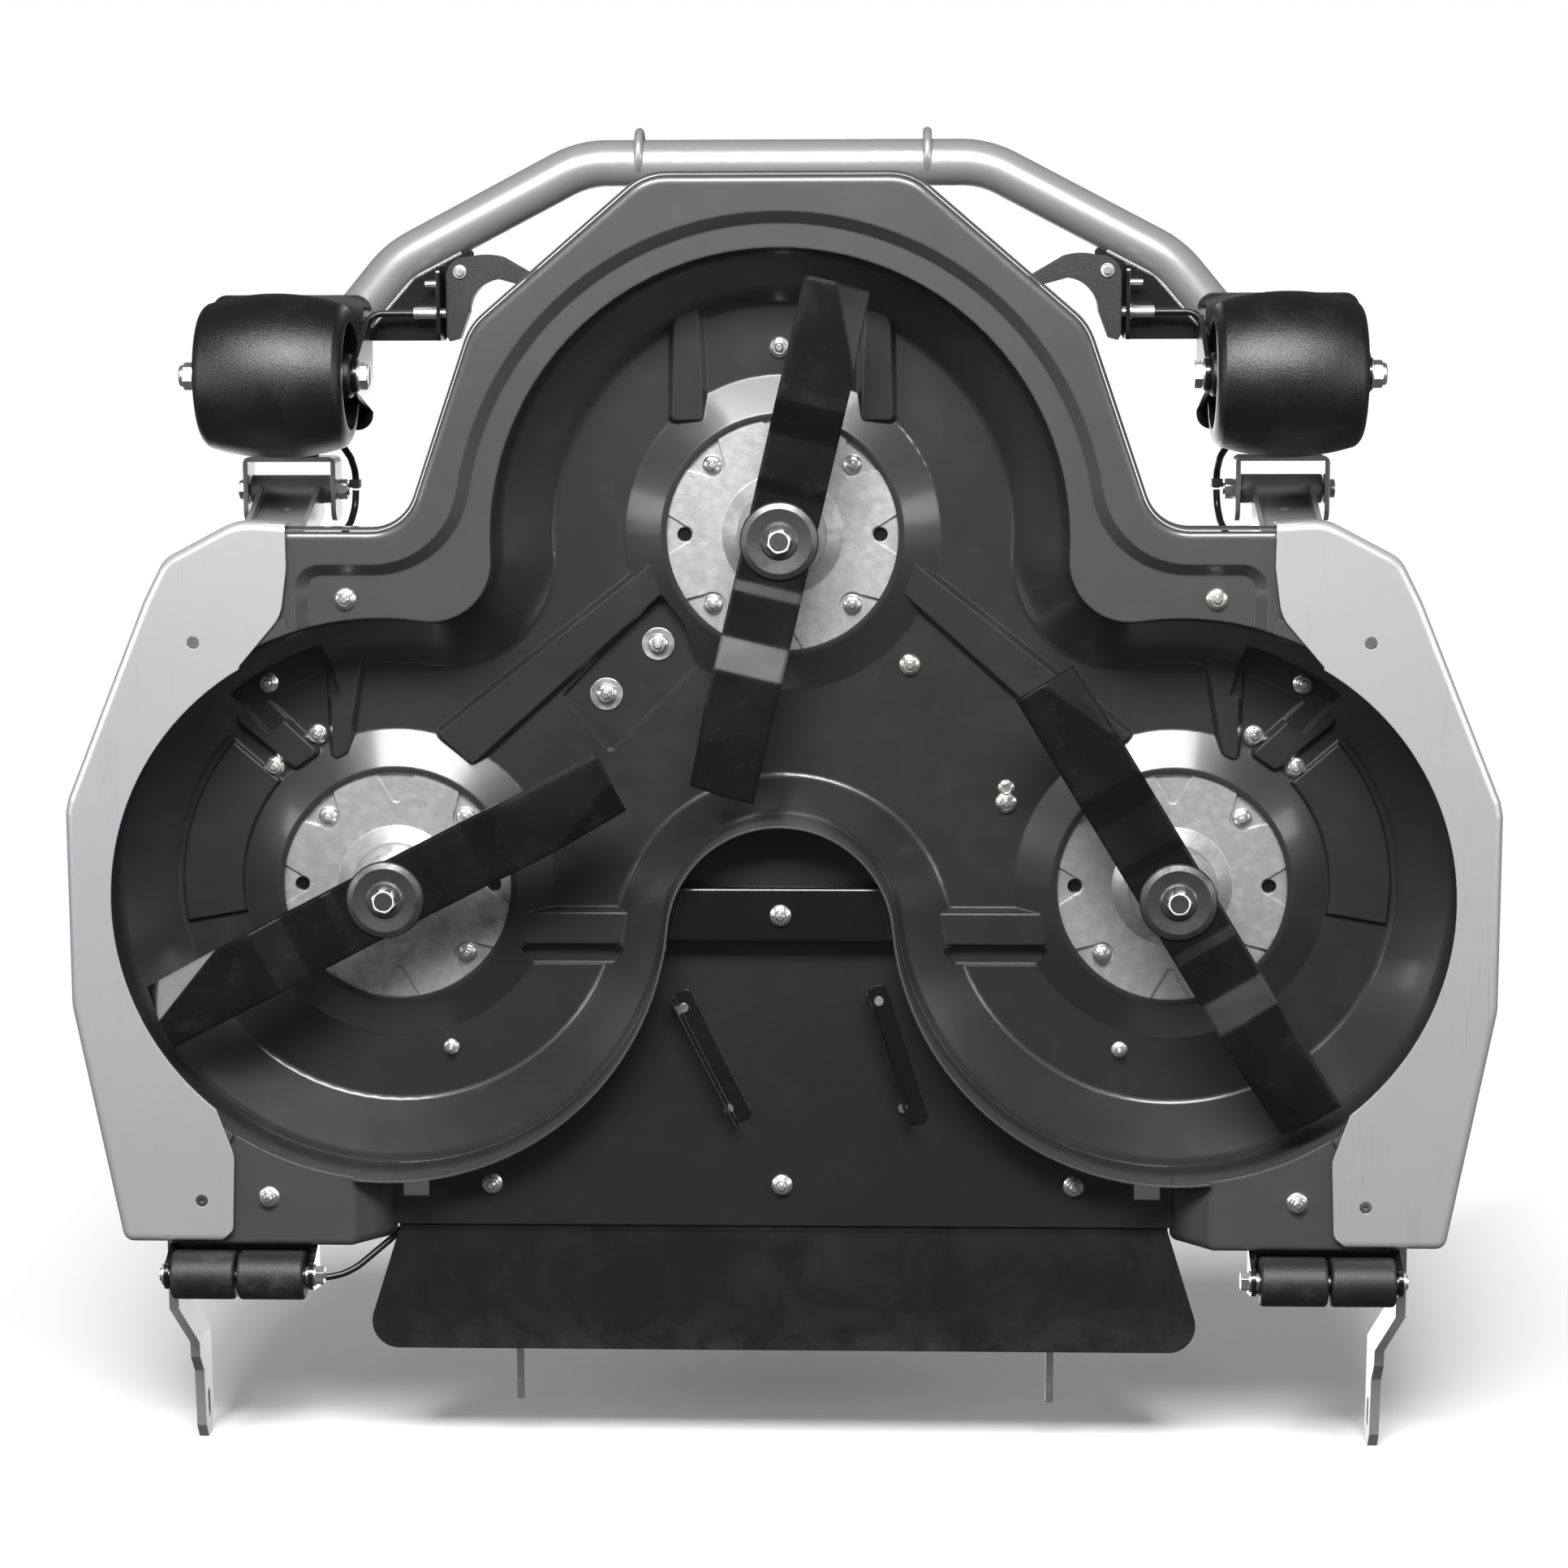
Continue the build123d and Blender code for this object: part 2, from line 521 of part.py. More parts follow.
# Screws of the skirts, each with a spacer up to the shell's floor
with BuildPart() as skirt_fasteners:
    for side in (1, -1):
        for (x, y), spacer_top in ((SKIRT_PLUG, FLANGE_Z), (SKIRT_SCREW, CORNER_Z)):
            with Locations((side * x, y, RIM_Z + SKIRT_SHEET)):
                Cylinder(14, spacer_top - RIM_Z - SKIRT_SHEET, align=(Align.CENTER, Align.CENTER, Align.MIN))
            with Locations((side * x, y, RIM_Z)):
                Cylinder(6, 5, align=(Align.CENTER, Align.CENTER, Align.MIN))
        with Locations((side * SKIRT_SCREW[0], SKIRT_SCREW[1], RIM_Z)):
            Cylinder(2.2, 2.5, align=(Align.CENTER, Align.CENTER, Align.MIN), mode=Mode.SUBTRACT)

# Nuts on their studs under the shell, the studs' heads above it
NUT_HEX_R = 8.6
NUT_FLANGE_R = 10.9
NUT_HEIGHT = 9.0


def discs(z, places, radius):
    """Circles at several places as faces at a height."""
    with BuildSketch(Plane.XY.offset(z)) as sketch:
        with Locations(*places):
            Circle(radius)
    return sketch.sketch


def hexes(z, places, radius):
    """Hexagons at several places as faces at a height."""
    with BuildSketch(Plane.XY.offset(z)) as sketch:
        with Locations(*places):
            RegularPolygon(radius, 6)
    return sketch.sketch


WASHER = 2.0
NUT_LEVELS = [(CEILING_Z, CEILING_NUTS + INNER_NUTS, SHEET),
              (CEILING_Z + POCKET_RISE - WASHER, POCKET_NUTS, SHEET + WASHER),
              (CEILING_Z - SECTOR_POCKET_DROP, SECTOR_NUTS, SHEET + SECTOR_POCKET_DROP),
              (SHELF_Z, SHELF_NUTS, SHEET), (CORNER_Z, CORNER_NUTS, SHEET),
              (PLATE_REAR_Z, FLAP_NUTS, PLATE_SHEET + FLAP_THICK), (CROSSBAR_Z, [(0, ahead(-15))], 2.5)]
CLIP = place([(-230, 101.2)])[0]
with BuildPart() as flange_nuts:
    for level, places, grip in NUT_LEVELS:
        extrude(discs(level - 2, places, NUT_FLANGE_R), amount=2)
        extrude(hexes(level - NUT_HEIGHT, places, NUT_HEX_R), amount=NUT_HEIGHT)
        extrude(discs(level - NUT_HEIGHT - 4, places, STUD_R - 0.6), amount=NUT_HEIGHT + grip + 5)
        extrude(discs(level + grip, places, 9), amount=4)
    extrude(discs(CEILING_Z + POCKET_RISE - WASHER, POCKET_NUTS, 17), amount=WASHER)
    add(deck_shell.part, mode=Mode.SUBTRACT)
with BuildPart() as small_nuts:
    extrude(discs(CEILING_Z - 2, SMALL_NUTS, 8.5), amount=2)
    extrude(hexes(CEILING_Z - 7, SMALL_NUTS, 6.6), amount=7)
    extrude(discs(CEILING_Z - 16, SMALL_NUTS, 3), amount=20)
    extrude(discs(CEILING_Z + SHEET, SMALL_NUTS, 6.5), amount=4)
    with Locations((*CLIP, CEILING_Z)):
        Box(26, 3, 9, align=(Align.CENTER, Align.CENTER, Align.MAX))
        Box(26, 12, 1.5, align=(Align.CENTER, Align.MIN, Align.MAX))

# Spindle housings cast in aluminium
PLATE_R = 122.0
HOUSING_Z = BOSS_Z + SHEET
HOUSING_THICK = 8.0
HUB_LOW_Z = 72.0
HUB_TOP_Z = 205.0
BEARING_R = 26.0
BEARING_WIDTH = 15.0
BEARING_LOW_Z = HUB_LOW_Z
BEARING_HIGH_Z = 188.0
SCREW_RING_R = 101.0
SCREW_ANGLES = (45, 135, 225, 315)
SHAFT_R = 12.5


def tear(z, ring, radius, spread, angles):
    """Pockets that open towards the plate's edge, as faces at a height."""
    with BuildSketch(Plane.XY.offset(z)) as sketch:
        for angle in angles:
            tip = around((0, 0), ring, angle)
            points = [around(tip, radius, angle - 100), around((0, 0), 130, angle - spread),
                      around((0, 0), 130, angle + spread), around(tip, radius, angle + 100)]
            Polygon(*points, align=None)
            with Locations(tip):
                Circle(radius)
    return sketch.sketch


with BuildPart() as spindle_housing:
    with BuildSketch(Plane.XZ) as half_section:
        with BuildLine():
            Polyline((BEARING_R, HUB_LOW_Z), (35, HUB_LOW_Z), (37, HUB_LOW_Z + 3), (46, HOUSING_Z - 12),
                     (62, HOUSING_Z), (PLATE_R, HOUSING_Z), (PLATE_R, HOUSING_Z + HOUSING_THICK),
                     (48, HOUSING_Z + HOUSING_THICK), (40, HUB_TOP_Z - 3), (37, HUB_TOP_Z),
                     (BEARING_R, HUB_TOP_Z), (BEARING_R, BEARING_HIGH_Z), (20.5, BEARING_HIGH_Z),
                     (20.5, BEARING_LOW_Z + BEARING_WIDTH), (BEARING_R, BEARING_LOW_Z + BEARING_WIDTH),
                     (BEARING_R, HUB_LOW_Z))
        make_face()
    revolve(axis=Axis.Z)
    extrude(tear(HOUSING_Z, SCREW_RING_R, 13, 13, SCREW_ANGLES), amount=4, mode=Mode.SUBTRACT)
    extrude(tear(HOUSING_Z, SCREW_RING_R - 1, 9, 12, (0, 180)), amount=3, mode=Mode.SUBTRACT)
    extrude(tear(HOUSING_Z, 92, 6, 12, (90, 270)), amount=3, mode=Mode.SUBTRACT)
    with PolarLocations(SCREW_RING_R, 4, 45):
        Cylinder(5.3, 400, mode=Mode.SUBTRACT)
    with PolarLocations(SCREW_RING_R - 1, 2, 0):
        Cylinder(7.5, 400, mode=Mode.SUBTRACT)
with BuildPart() as spindle_bearings:
    for x, y in SPINDLE_CENTRES:
        for z in (BEARING_LOW_Z, BEARING_HIGH_Z):
            with Locations((x, y, z)):
                Cylinder(BEARING_R - 0.02, BEARING_WIDTH, align=(Align.CENTER, Align.CENTER, Align.MIN))
                Cylinder(SHAFT_R + 0.03, BEARING_WIDTH, align=(Align.CENTER, Align.CENTER, Align.MIN),
                         mode=Mode.SUBTRACT)

# Screws of the housings, and the steel mounts above that hold them down on the boss
MOUNT_THICK = 4.0
MOUNT_Z = CEILING_Z + SHEET
SCREWS = [around(c, SCREW_RING_R, a) for c in SPINDLE_CENTRES for a in SCREW_ANGLES]
with BuildPart() as spindle_mounts:
    for name, (x, y) in SPINDLES.items():
        with Locations((x, y, HOUSING_Z + HOUSING_THICK)):
            Cylinder(121, MOUNT_Z - HOUSING_Z - HOUSING_THICK, align=(Align.CENTER, Align.CENTER, Align.MIN))
        with BuildSketch(Plane.XY.offset(MOUNT_Z)):
            for angle in MOUNT_ANGLES[name]:
                with Locations(Location(around((x, y), 145, angle), angle)):
                    RectangleRounded(90, 34, 12)
        extrude(amount=MOUNT_THICK)
    extrude(discs(HOUSING_Z, SPINDLE_CENTRES, 84), amount=60, mode=Mode.SUBTRACT)
    extrude(discs(HOUSING_Z, SCREWS, 5.3), amount=60, mode=Mode.SUBTRACT)
    extrude(discs(HOUSING_Z, MOUNT_STUDS, STUD_R + 0.3), amount=60, mode=Mode.SUBTRACT)
with BuildPart() as mount_nuts:
    extrude(discs(MOUNT_Z + MOUNT_THICK, MOUNT_STUDS, NUT_FLANGE_R), amount=2)
    extrude(hexes(MOUNT_Z + MOUNT_THICK, MOUNT_STUDS, NUT_HEX_R), amount=NUT_HEIGHT)
    extrude(discs(MOUNT_Z, MOUNT_STUDS, STUD_R + 0.1), amount=40, mode=Mode.SUBTRACT)
with BuildPart() as spindle_screws:
    extrude(discs(HOUSING_Z + 2, SCREWS, 10), amount=2)
    extrude(hexes(HOUSING_Z - 5, SCREWS, 7.8), amount=8)
    extrude(discs(HOUSING_Z - 8, SCREWS, STUD_R - 1), amount=10)
    extrude(discs(HOUSING_Z + 2, SCREWS, STUD_R), amount=MOUNT_Z - HOUSING_Z)
    extrude(hexes(MOUNT_Z, SCREWS, 8.6), amount=7)

# Blade, its long axis along X, two joggles down on each side and a tip corner turned up
BLADE_REACH = 262.0
BLADE_HALF = 35.0
BLADE_THICK = 4.5
BLADE_HUB_Z = 54.0
BLADE_PAD_Z = 51.0
BLADE_TIP_Z = 40.0
BLADE_ANGLES = {"front": 103.3, "right": 152.6, "left": 58.8}
WING_START = 176.0
WING_END_ACROSS = -3.0
WING_TURN = 26.0

with BuildPart() as blade:
    run = [(0, BLADE_HUB_Z), (46, BLADE_HUB_Z), (58, BLADE_PAD_Z), (104, BLADE_PAD_Z), (138, BLADE_TIP_Z),
           (BLADE_REACH, BLADE_TIP_Z)]
    for side in (1, -1):
        with BuildSketch(Plane.XZ.offset(-BLADE_HALF)):
            low = [(side * x, z) for x, z in run]
            high = [(side * x, z + BLADE_THICK) for x, z in reversed(run)]
            Polygon(*low, *high, align=None)
        extrude(amount=2 * BLADE_HALF)
    for side in (1, -1):
        corner = [(side * WING_START, side * BLADE_HALF), (side * BLADE_REACH, side * WING_END_ACROSS),
                  (side * (BLADE_REACH + 9), side * WING_END_ACROSS), (side * (BLADE_REACH + 9), side * 40),
                  (side * WING_START, side * 40)]
        extrude(flat(BLADE_TIP_Z - 5, corner), amount=20, mode=Mode.SUBTRACT)
    for side in (1, -1):
        start = (side * WING_START, side * BLADE_HALF, BLADE_TIP_Z)
        crease = Vector(side * (BLADE_REACH - WING_START), side * (WING_END_ACROSS - BLADE_HALF), 0)
        crease = crease.normalized()
        out = Vector(0, 0, 1).cross(crease)
        tilt = out * cos(radians(WING_TURN)) + Vector(0, 0, 1) * sin(radians(WING_TURN))
        wing_plane = Plane(origin=start, x_dir=crease, z_dir=crease.cross(tilt))
        length = hypot(BLADE_REACH - WING_START, BLADE_HALF - WING_END_ACROSS)
        depth = (BLADE_REACH - WING_START) * (BLADE_HALF - WING_END_ACROSS) / length
        foot = (BLADE_REACH - WING_START) ** 2 / length
        with BuildSketch(wing_plane):
            Polygon((0, -0.2), (length, -0.2), (length, 0), (foot, depth), (0, 0), align=None)
        extrude(amount=BLADE_THICK)
    for side in (1, -1):
        with BuildSketch(Plane.YZ.offset(side * 150)):
            edge = -side * BLADE_HALF
            Polygon((edge, BLADE_TIP_Z + 1.2), (edge + side * 16, BLADE_TIP_Z + BLADE_THICK),
                    (edge, BLADE_TIP_Z + BLADE_THICK), align=None)
        extrude(amount=side * 120, mode=Mode.SUBTRACT)
    Cylinder(8.2, 200, mode=Mode.SUBTRACT)

# Bolt with its cupped washer
CUP_R = 39.5
with BuildPart() as blade_bolt:
    with BuildSketch(Plane.XZ):
        with BuildLine():
            Polyline((6.2, BLADE_HUB_Z), (CUP_R - 3, BLADE_HUB_Z), (CUP_R, BLADE_HUB_Z - 2),
                     (CUP_R - 1.5, BLADE_HUB_Z - 4), (CUP_R - 7, BLADE_HUB_Z - 6), (19, BLADE_HUB_Z - 4.5),
                     (17, BLADE_HUB_Z - 6), (6.2, BLADE_HUB_Z - 6), (6.2, BLADE_HUB_Z))
        make_face()
    revolve(axis=Axis.Z)
    extrude(hexes(BLADE_HUB_Z - 15, [(0, 0)], 12.7), amount=9)
    extrude(discs(BLADE_HUB_Z - 7, [(0, 0)], 6.2), amount=34)

# Spindle shaft and belt pulleys
PULLEY_R = 62.0
PULLEY_PITCH_R = 57.0
BELT_Z = 222.0
PULLEY_HALF = 10.0
SHAFT_TOP = 256.0
with BuildPart() as spindle_shaft:
    with BuildSketch(Plane.XZ):
        top = BLADE_HUB_Z + BLADE_THICK
        Polygon((0, top), (30, top), (30, top + 5), (17.5, top + 7), (17.5, HUB_LOW_Z - 0.4),
                (SHAFT_R, HUB_LOW_Z - 0.4), (SHAFT_R, SHAFT_TOP - 1), (SHAFT_R - 1, SHAFT_TOP),
                (0, SHAFT_TOP), align=None)
    revolve(axis=Axis.Z)
    Cylinder(6.3, 2 * (BLADE_HUB_Z + 30), mode=Mode.SUBTRACT)


def pulley_section(middle, inner):
    """Half section of a pulley with one V groove."""
    half = PULLEY_HALF
    return [(inner, middle - half), (PULLEY_R - 1, middle - half), (PULLEY_R, middle - half + 1),
            (PULLEY_R, middle - half + 2), (PULLEY_R - 14, middle - 3.8), (PULLEY_R - 14, middle + 3.8),
            (PULLEY_R, middle + half - 2), (PULLEY_R, middle + half - 1), (PULLEY_R - 1, middle + half),
            (inner, middle + half)]


with BuildPart() as pulley:
    with BuildSketch(Plane.XZ):
        Polygon(*pulley_section(BELT_Z, SHAFT_R), align=None)
        Polygon((SHAFT_R, HUB_TOP_Z + 1), (22, HUB_TOP_Z + 1), (24, BELT_Z), (22, BELT_Z + 15),
                (SHAFT_R, BELT_Z + 15), align=None)
    revolve(axis=Axis.Z)
    extrude(hexes(BELT_Z + 15, [(0, 0)], 20), amount=9)
    Cylinder(SHAFT_R, 600, mode=Mode.SUBTRACT)
    with PolarLocations(37, 5):
        Cylinder(8, 600, mode=Mode.SUBTRACT)
with BuildPart() as double_pulley:
    with BuildSketch(Plane.XZ):
        Polygon(*pulley_section(BELT_Z, SHAFT_R), align=None)
        Polygon(*pulley_section(BELT_Z + 2 * PULLEY_HALF, SHAFT_R), align=None)
        Polygon((SHAFT_R, HUB_TOP_Z + 1), (22, HUB_TOP_Z + 1), (24, BELT_Z), (SHAFT_R, BELT_Z), align=None)
    revolve(axis=Axis.Z)
    extrude(hexes(BELT_Z + 3 * PULLEY_HALF, [(0, 0)], 20), amount=9)
    Cylinder(SHAFT_R, 600, mode=Mode.SUBTRACT)

# Belt round the three pulleys, pressed in by an idler on its back
IDLER = (-130.0, ahead(-84))
IDLER_R = 30.0
IDLER_PIVOT = (-232.0, ahead(-112))
BELT_HALF = 4.5
BELT_WIDTH = 10.0


def tangent(a, b, ra, rb):
    """Ends of the belt run between two circles, their radii negative where the belt turns the other way."""
    dx, dy = b[0] - a[0], b[1] - a[1]
    span = hypot(dx, dy)
    lean = atan2(dy, dx) + asin((ra - rb) / span)
    nx, ny = sin(lean), -cos(lean)
    return (a[0] + ra * nx, a[1] + ra * ny), (b[0] + rb * nx, b[1] + rb * ny)


BELT_STOPS = [(LEFT_SPINDLE, PULLEY_PITCH_R), (IDLER, -(IDLER_R + BELT_HALF)),
              (RIGHT_SPINDLE, PULLEY_PITCH_R), (FRONT_SPINDLE, PULLEY_PITCH_R)]


def belt_band(z, half, side):
    """The belt's band as a face at a height, between its pitch line and one edge."""
    stops = [(c, r + side * half) for c, r in BELT_STOPS]
    runs = [tangent(stops[i][0], stops[(i + 1) % 4][0], stops[i][1], stops[(i + 1) % 4][1]) for i in range(4)]
    with BuildSketch(Plane.XY.offset(z)) as sketch:
        with BuildLine():
            for i in range(4):
                centre, radius = stops[i]
                start, end = runs[i - 1][1], runs[i][0]
                first = degrees(atan2(start[1] - centre[1], start[0] - centre[0]))
                last = degrees(atan2(end[1] - centre[1], end[0] - centre[0]))
                turn = (last - first) % 360 if radius > 0 else -((first - last) % 360)
                ThreePointArc(start, around(centre, abs(radius), first + turn / 2), end)
                Line(*runs[i])
        make_face()
    return sketch.sketch


with BuildPart() as drive_belt:
    extrude(belt_band(BELT_Z, BELT_HALF, 1), amount=BELT_WIDTH / 2, both=True)
    extrude(belt_band(BELT_Z, BELT_HALF, -1), amount=BELT_WIDTH / 2, both=True, mode=Mode.SUBTRACT)

with BuildPart() as idler_pulley:
    with BuildSketch(Plane.XZ):
        low, high = BELT_Z - 11, BELT_Z + 11
        Polygon((8.06, low), (14, low), (14, BELT_Z - 4), (IDLER_R - 4, BELT_Z - 4), (IDLER_R - 4, low + 1),
                (IDLER_R + 3, low), (IDLER_R + 3, low + 2), (IDLER_R, low + 3), (IDLER_R, high - 3),
                (IDLER_R + 3, high - 2), (IDLER_R + 3, high), (IDLER_R - 4, high - 1),
                (IDLER_R - 4, BELT_Z + 4), (14, BELT_Z + 4), (14, high), (8.06, high), align=None)
    revolve(axis=Axis.Z)

# Idler bracket on its post, held by a bolt in a slot
BRACKET_Z = 200.0
IDLER_LEAN = degrees(atan2(IDLER[1] - IDLER_PIVOT[1], IDLER[0] - IDLER_PIVOT[0]))
IDLER_POST = around(IDLER_PIVOT, 6, IDLER_LEAN)
with BuildPart() as idler_bracket:
    reach = hypot(IDLER[1] - IDLER_PIVOT[1], IDLER[0] - IDLER_PIVOT[0])
    middle = ((IDLER[0] + IDLER_PIVOT[0]) / 2, (IDLER[1] + IDLER_PIVOT[1]) / 2)
    with BuildSketch(Plane.XY.offset(BRACKET_Z)):
        with Locations(Location(middle, IDLER_LEAN)):
            SlotCenterToCenter(reach, 36)
        with Locations(Location(IDLER_POST, IDLER_LEAN)):
            SlotCenterToCenter(18, 10.4, mode=Mode.SUBTRACT)
        with Locations(IDLER):
            Circle(8, mode=Mode.SUBTRACT)
    extrude(amount=6)
with BuildPart() as idler_post:
    extrude(discs(MOUNT_Z, [IDLER_POST], 15), amount=BRACKET_Z - MOUNT_Z)
    extrude(discs(BRACKET_Z - 20, [IDLER_POST], 5), amount=40, mode=Mode.SUBTRACT)
with BuildPart() as idler_bolts:
    extrude(discs(BRACKET_Z, [IDLER], 7.98), amount=BELT_Z + 12 - BRACKET_Z)
    extrude(discs(BRACKET_Z + 6, [IDLER], 13), amount=BELT_Z - 11.5 - BRACKET_Z - 6)
    extrude(hexes(BRACKET_Z - 8, [IDLER], 12), amount=8)
    extrude(hexes(BELT_Z + 11.4, [IDLER], 12), amount=10)
    extrude(discs(BRACKET_Z - 18, [IDLER_POST], 4.98), amount=26)
    extrude(discs(BRACKET_Z + 6, [IDLER_POST], 12), amount=2)
    extrude(hexes(BRACKET_Z + 8, [IDLER_POST], 10), amount=7)

# Front frame: one bent tube with two hooks
TUBE_WALL = 2.6
HINGE_X = 512.0
HINGE_Y = ahead(406.5)
HINGE_BACK = ahead(436)
CHANNEL_SHEET = 5.0
TUBE_PATH = place([(HINGE_X, 441), (HINGE_X, 500), (395, 640), (205, TUBE_AHEAD)])
HOOK_X = 147.0
HOOK_R = 4.5


def tube_route():
    """Centre line of the front tube."""
    points = [(x, y, FRAME_Z) for x, y in TUBE_PATH]
    points += [(-x, y, z) for x, y, z in reversed(points)]
    return FilletPolyline(*points, radius=100)


with BuildPart() as bumper_tube:
    with BuildLine() as route:
        tube_route()
    with BuildSketch(Plane(origin=route.line @ 0, z_dir=route.line % 0)):
        Circle(TUBE_R)
        Circle(TUBE_R - TUBE_WALL, mode=Mode.SUBTRACT)
    sweep()
    for side in (1, -1):
        loop_r = TUBE_R + HOOK_REACH - HOOK_R - 8
        with BuildLine() as hook:
            centre = (ahead(TUBE_AHEAD) + 8, FRAME_Z)
            points = [around(centre, loop_r, a) for a in (-125, 0, 125)]
            ThreePointArc(*[(side * HOOK_X, y, z) for y, z in points])
        with BuildSketch(Plane(origin=hook.line @ 0, z_dir=hook.line % 0)):
            Circle(HOOK_R)
        sweep(path=hook.line)
with BuildPart() as tube_form:
    with BuildLine() as route:
        tube_route()
    with BuildSketch(Plane(origin=route.line @ 0, z_dir=route.line % 0)):
        Circle(TUBE_R + 0.25)
    sweep()

# Hinge: channel on the frame, bush and arm on the deck
BUSH_R = 15.0
HINGE_PIN_R = 6.0
with BuildPart() as hinge_bracket_right:
    with BuildSketch(Plane.XY.offset(FRAME_Z - 21)):
        Polygon(*place([(464, 374), (464, 441), (560, 441), (560, 374)]), align=None)
    extrude(amount=42)
    fillet([e for e in hinge_bracket_right.edges().filter_by(Axis.Z) if e.center().Y > HINGE_Y], 7)
    with BuildSketch(Plane.XY.offset(FRAME_Z - 30)):
        Polygon(*place([(469, 300), (469, 436), (555, 436), (555, 300)]), align=None)
    extrude(amount=60, mode=Mode.SUBTRACT)
    fillet([e for e in hinge_bracket_right.edges().filter_by(Axis.X) if e.center().Y < HINGE_Y], 15)
    with Locations(Location((HINGE_X, HINGE_Y, FRAME_Z), (0, 90, 0))):
        Cylinder(HINGE_PIN_R + 0.05, 200, mode=Mode.SUBTRACT)
with BuildPart() as hinge_bracket_left:
    mirror(hinge_bracket_right.part, about=Plane.YZ)
ARM_TOP = (ahead(398), FRAME_Z - 12)
ARM_FOOT = (ahead(352), FLANGE_Z + SHEET + 5)
with BuildPart() as link_arm_right:
    with Locations(Location((HINGE_X, HINGE_Y, FRAME_Z), (0, 90, 0))):
        Cylinder(BUSH_R, 83)
    with BuildSketch(Plane.YZ.offset(HINGE_X - 27)):
        Polygon(ARM_TOP, (ARM_TOP[0] - 5, ARM_TOP[1] + 2), (ARM_FOOT[0] - 5, ARM_FOOT[1]), ARM_FOOT,
                align=None)
    extrude(amount=54)
    for x in (HINGE_X - 32, HINGE_X + 27):
        with BuildSketch(Plane.YZ.offset(x)):
            Polygon((HINGE_Y + 6, FRAME_Z - 9), (HINGE_Y - 26, FRAME_Z + 6), (ARM_FOOT[0] - 34, ARM_FOOT[1]),
                    (ARM_FOOT[0] + 8, ARM_FOOT[1]), align=None)
        extrude(amount=5)
    with Locations((HINGE_X + 9, ahead(335), FLANGE_Z + SHEET)):
        Box(58, 62, 5, align=(Align.CENTER, Align.CENTER, Align.MIN))
    add(deck_shell.part, mode=Mode.SUBTRACT)
    with Locations(Location((HINGE_X, HINGE_Y, FRAME_Z), (0, 90, 0))):
        Cylinder(HINGE_PIN_R + 0.05, 200, mode=Mode.SUBTRACT)
    with Locations(Location((HINGE_X, ahead(385), FRAME_Z - 45), (90, 0, 0))):
        Cylinder(6, 100, mode=Mode.SUBTRACT)
with BuildPart() as link_arm_left:
    mirror(link_arm_right.part, about=Plane.YZ)


def bar_x(centre_y, centre_z, first, last, radius):
    """Round bar along X between two places, on both sides of the deck."""
    for side in (1, -1):
        with Locations(Location((side * (first + last) / 2, centre_y, centre_z), (0, 90, 0))):
            Cylinder(radius, abs(last - first))


def hex_x(centre_y, centre_z, first, last, radius):
    """Hexagonal bar along X between two places, on both sides of the deck."""
    for side in (1, -1):
        start = side * min(first, last)
        plane = Plane(origin=(start, centre_y, centre_z), x_dir=(0, 1, 0), z_dir=(side, 0, 0))
        with BuildSketch(plane) as hexagon:
            RegularPolygon(radius, 6)
        extrude(hexagon.sketch, amount=abs(last - first))


with BuildPart() as hinge_bolts:
    bar_x(HINGE_Y, FRAME_Z, 452, 566, HINGE_PIN_R)
    hex_x(HINGE_Y, FRAME_Z, 560, 567, 10.5)
    hex_x(HINGE_Y, FRAME_Z, 454, 464, 10.5)

# Front wheels in their forks
WHEEL_X = 504.0
WHEEL_Y = ahead(527)
WHEEL_Z = 82.0
WHEEL_R = 82.0
WHEEL_HALF = 74.0
AXLE_R = 8.0
FORK_GAP = 77.0
FORK_TOP = 176.0
with BuildPart() as wheel_right:
    with BuildSketch(Plane.XZ):
        with BuildLine():
            h = WHEEL_HALF
            ThreePointArc((-h, 60), (-h + 1, 64), (-h + 8, 72))
            ThreePointArc((-h + 8, 72), (0, WHEEL_R), (h - 8, 72))
            ThreePointArc((h - 8, 72), (h - 1, 64), (h, 60))
            Polyline((h, 60), (h, 54), (h - 18, 48), (h - 22, 24), (h, 22), (FORK_GAP - 0.5, 20),
                     (FORK_GAP - 0.5, AXLE_R + 0.06), (-FORK_GAP + 0.5, AXLE_R + 0.06), (-FORK_GAP + 0.5, 20),
                     (-h, 22), (-h + 22, 24), (-h + 18, 48), (-h, 54), (-h, 60))
        make_face()
    revolve(axis=Axis.X)
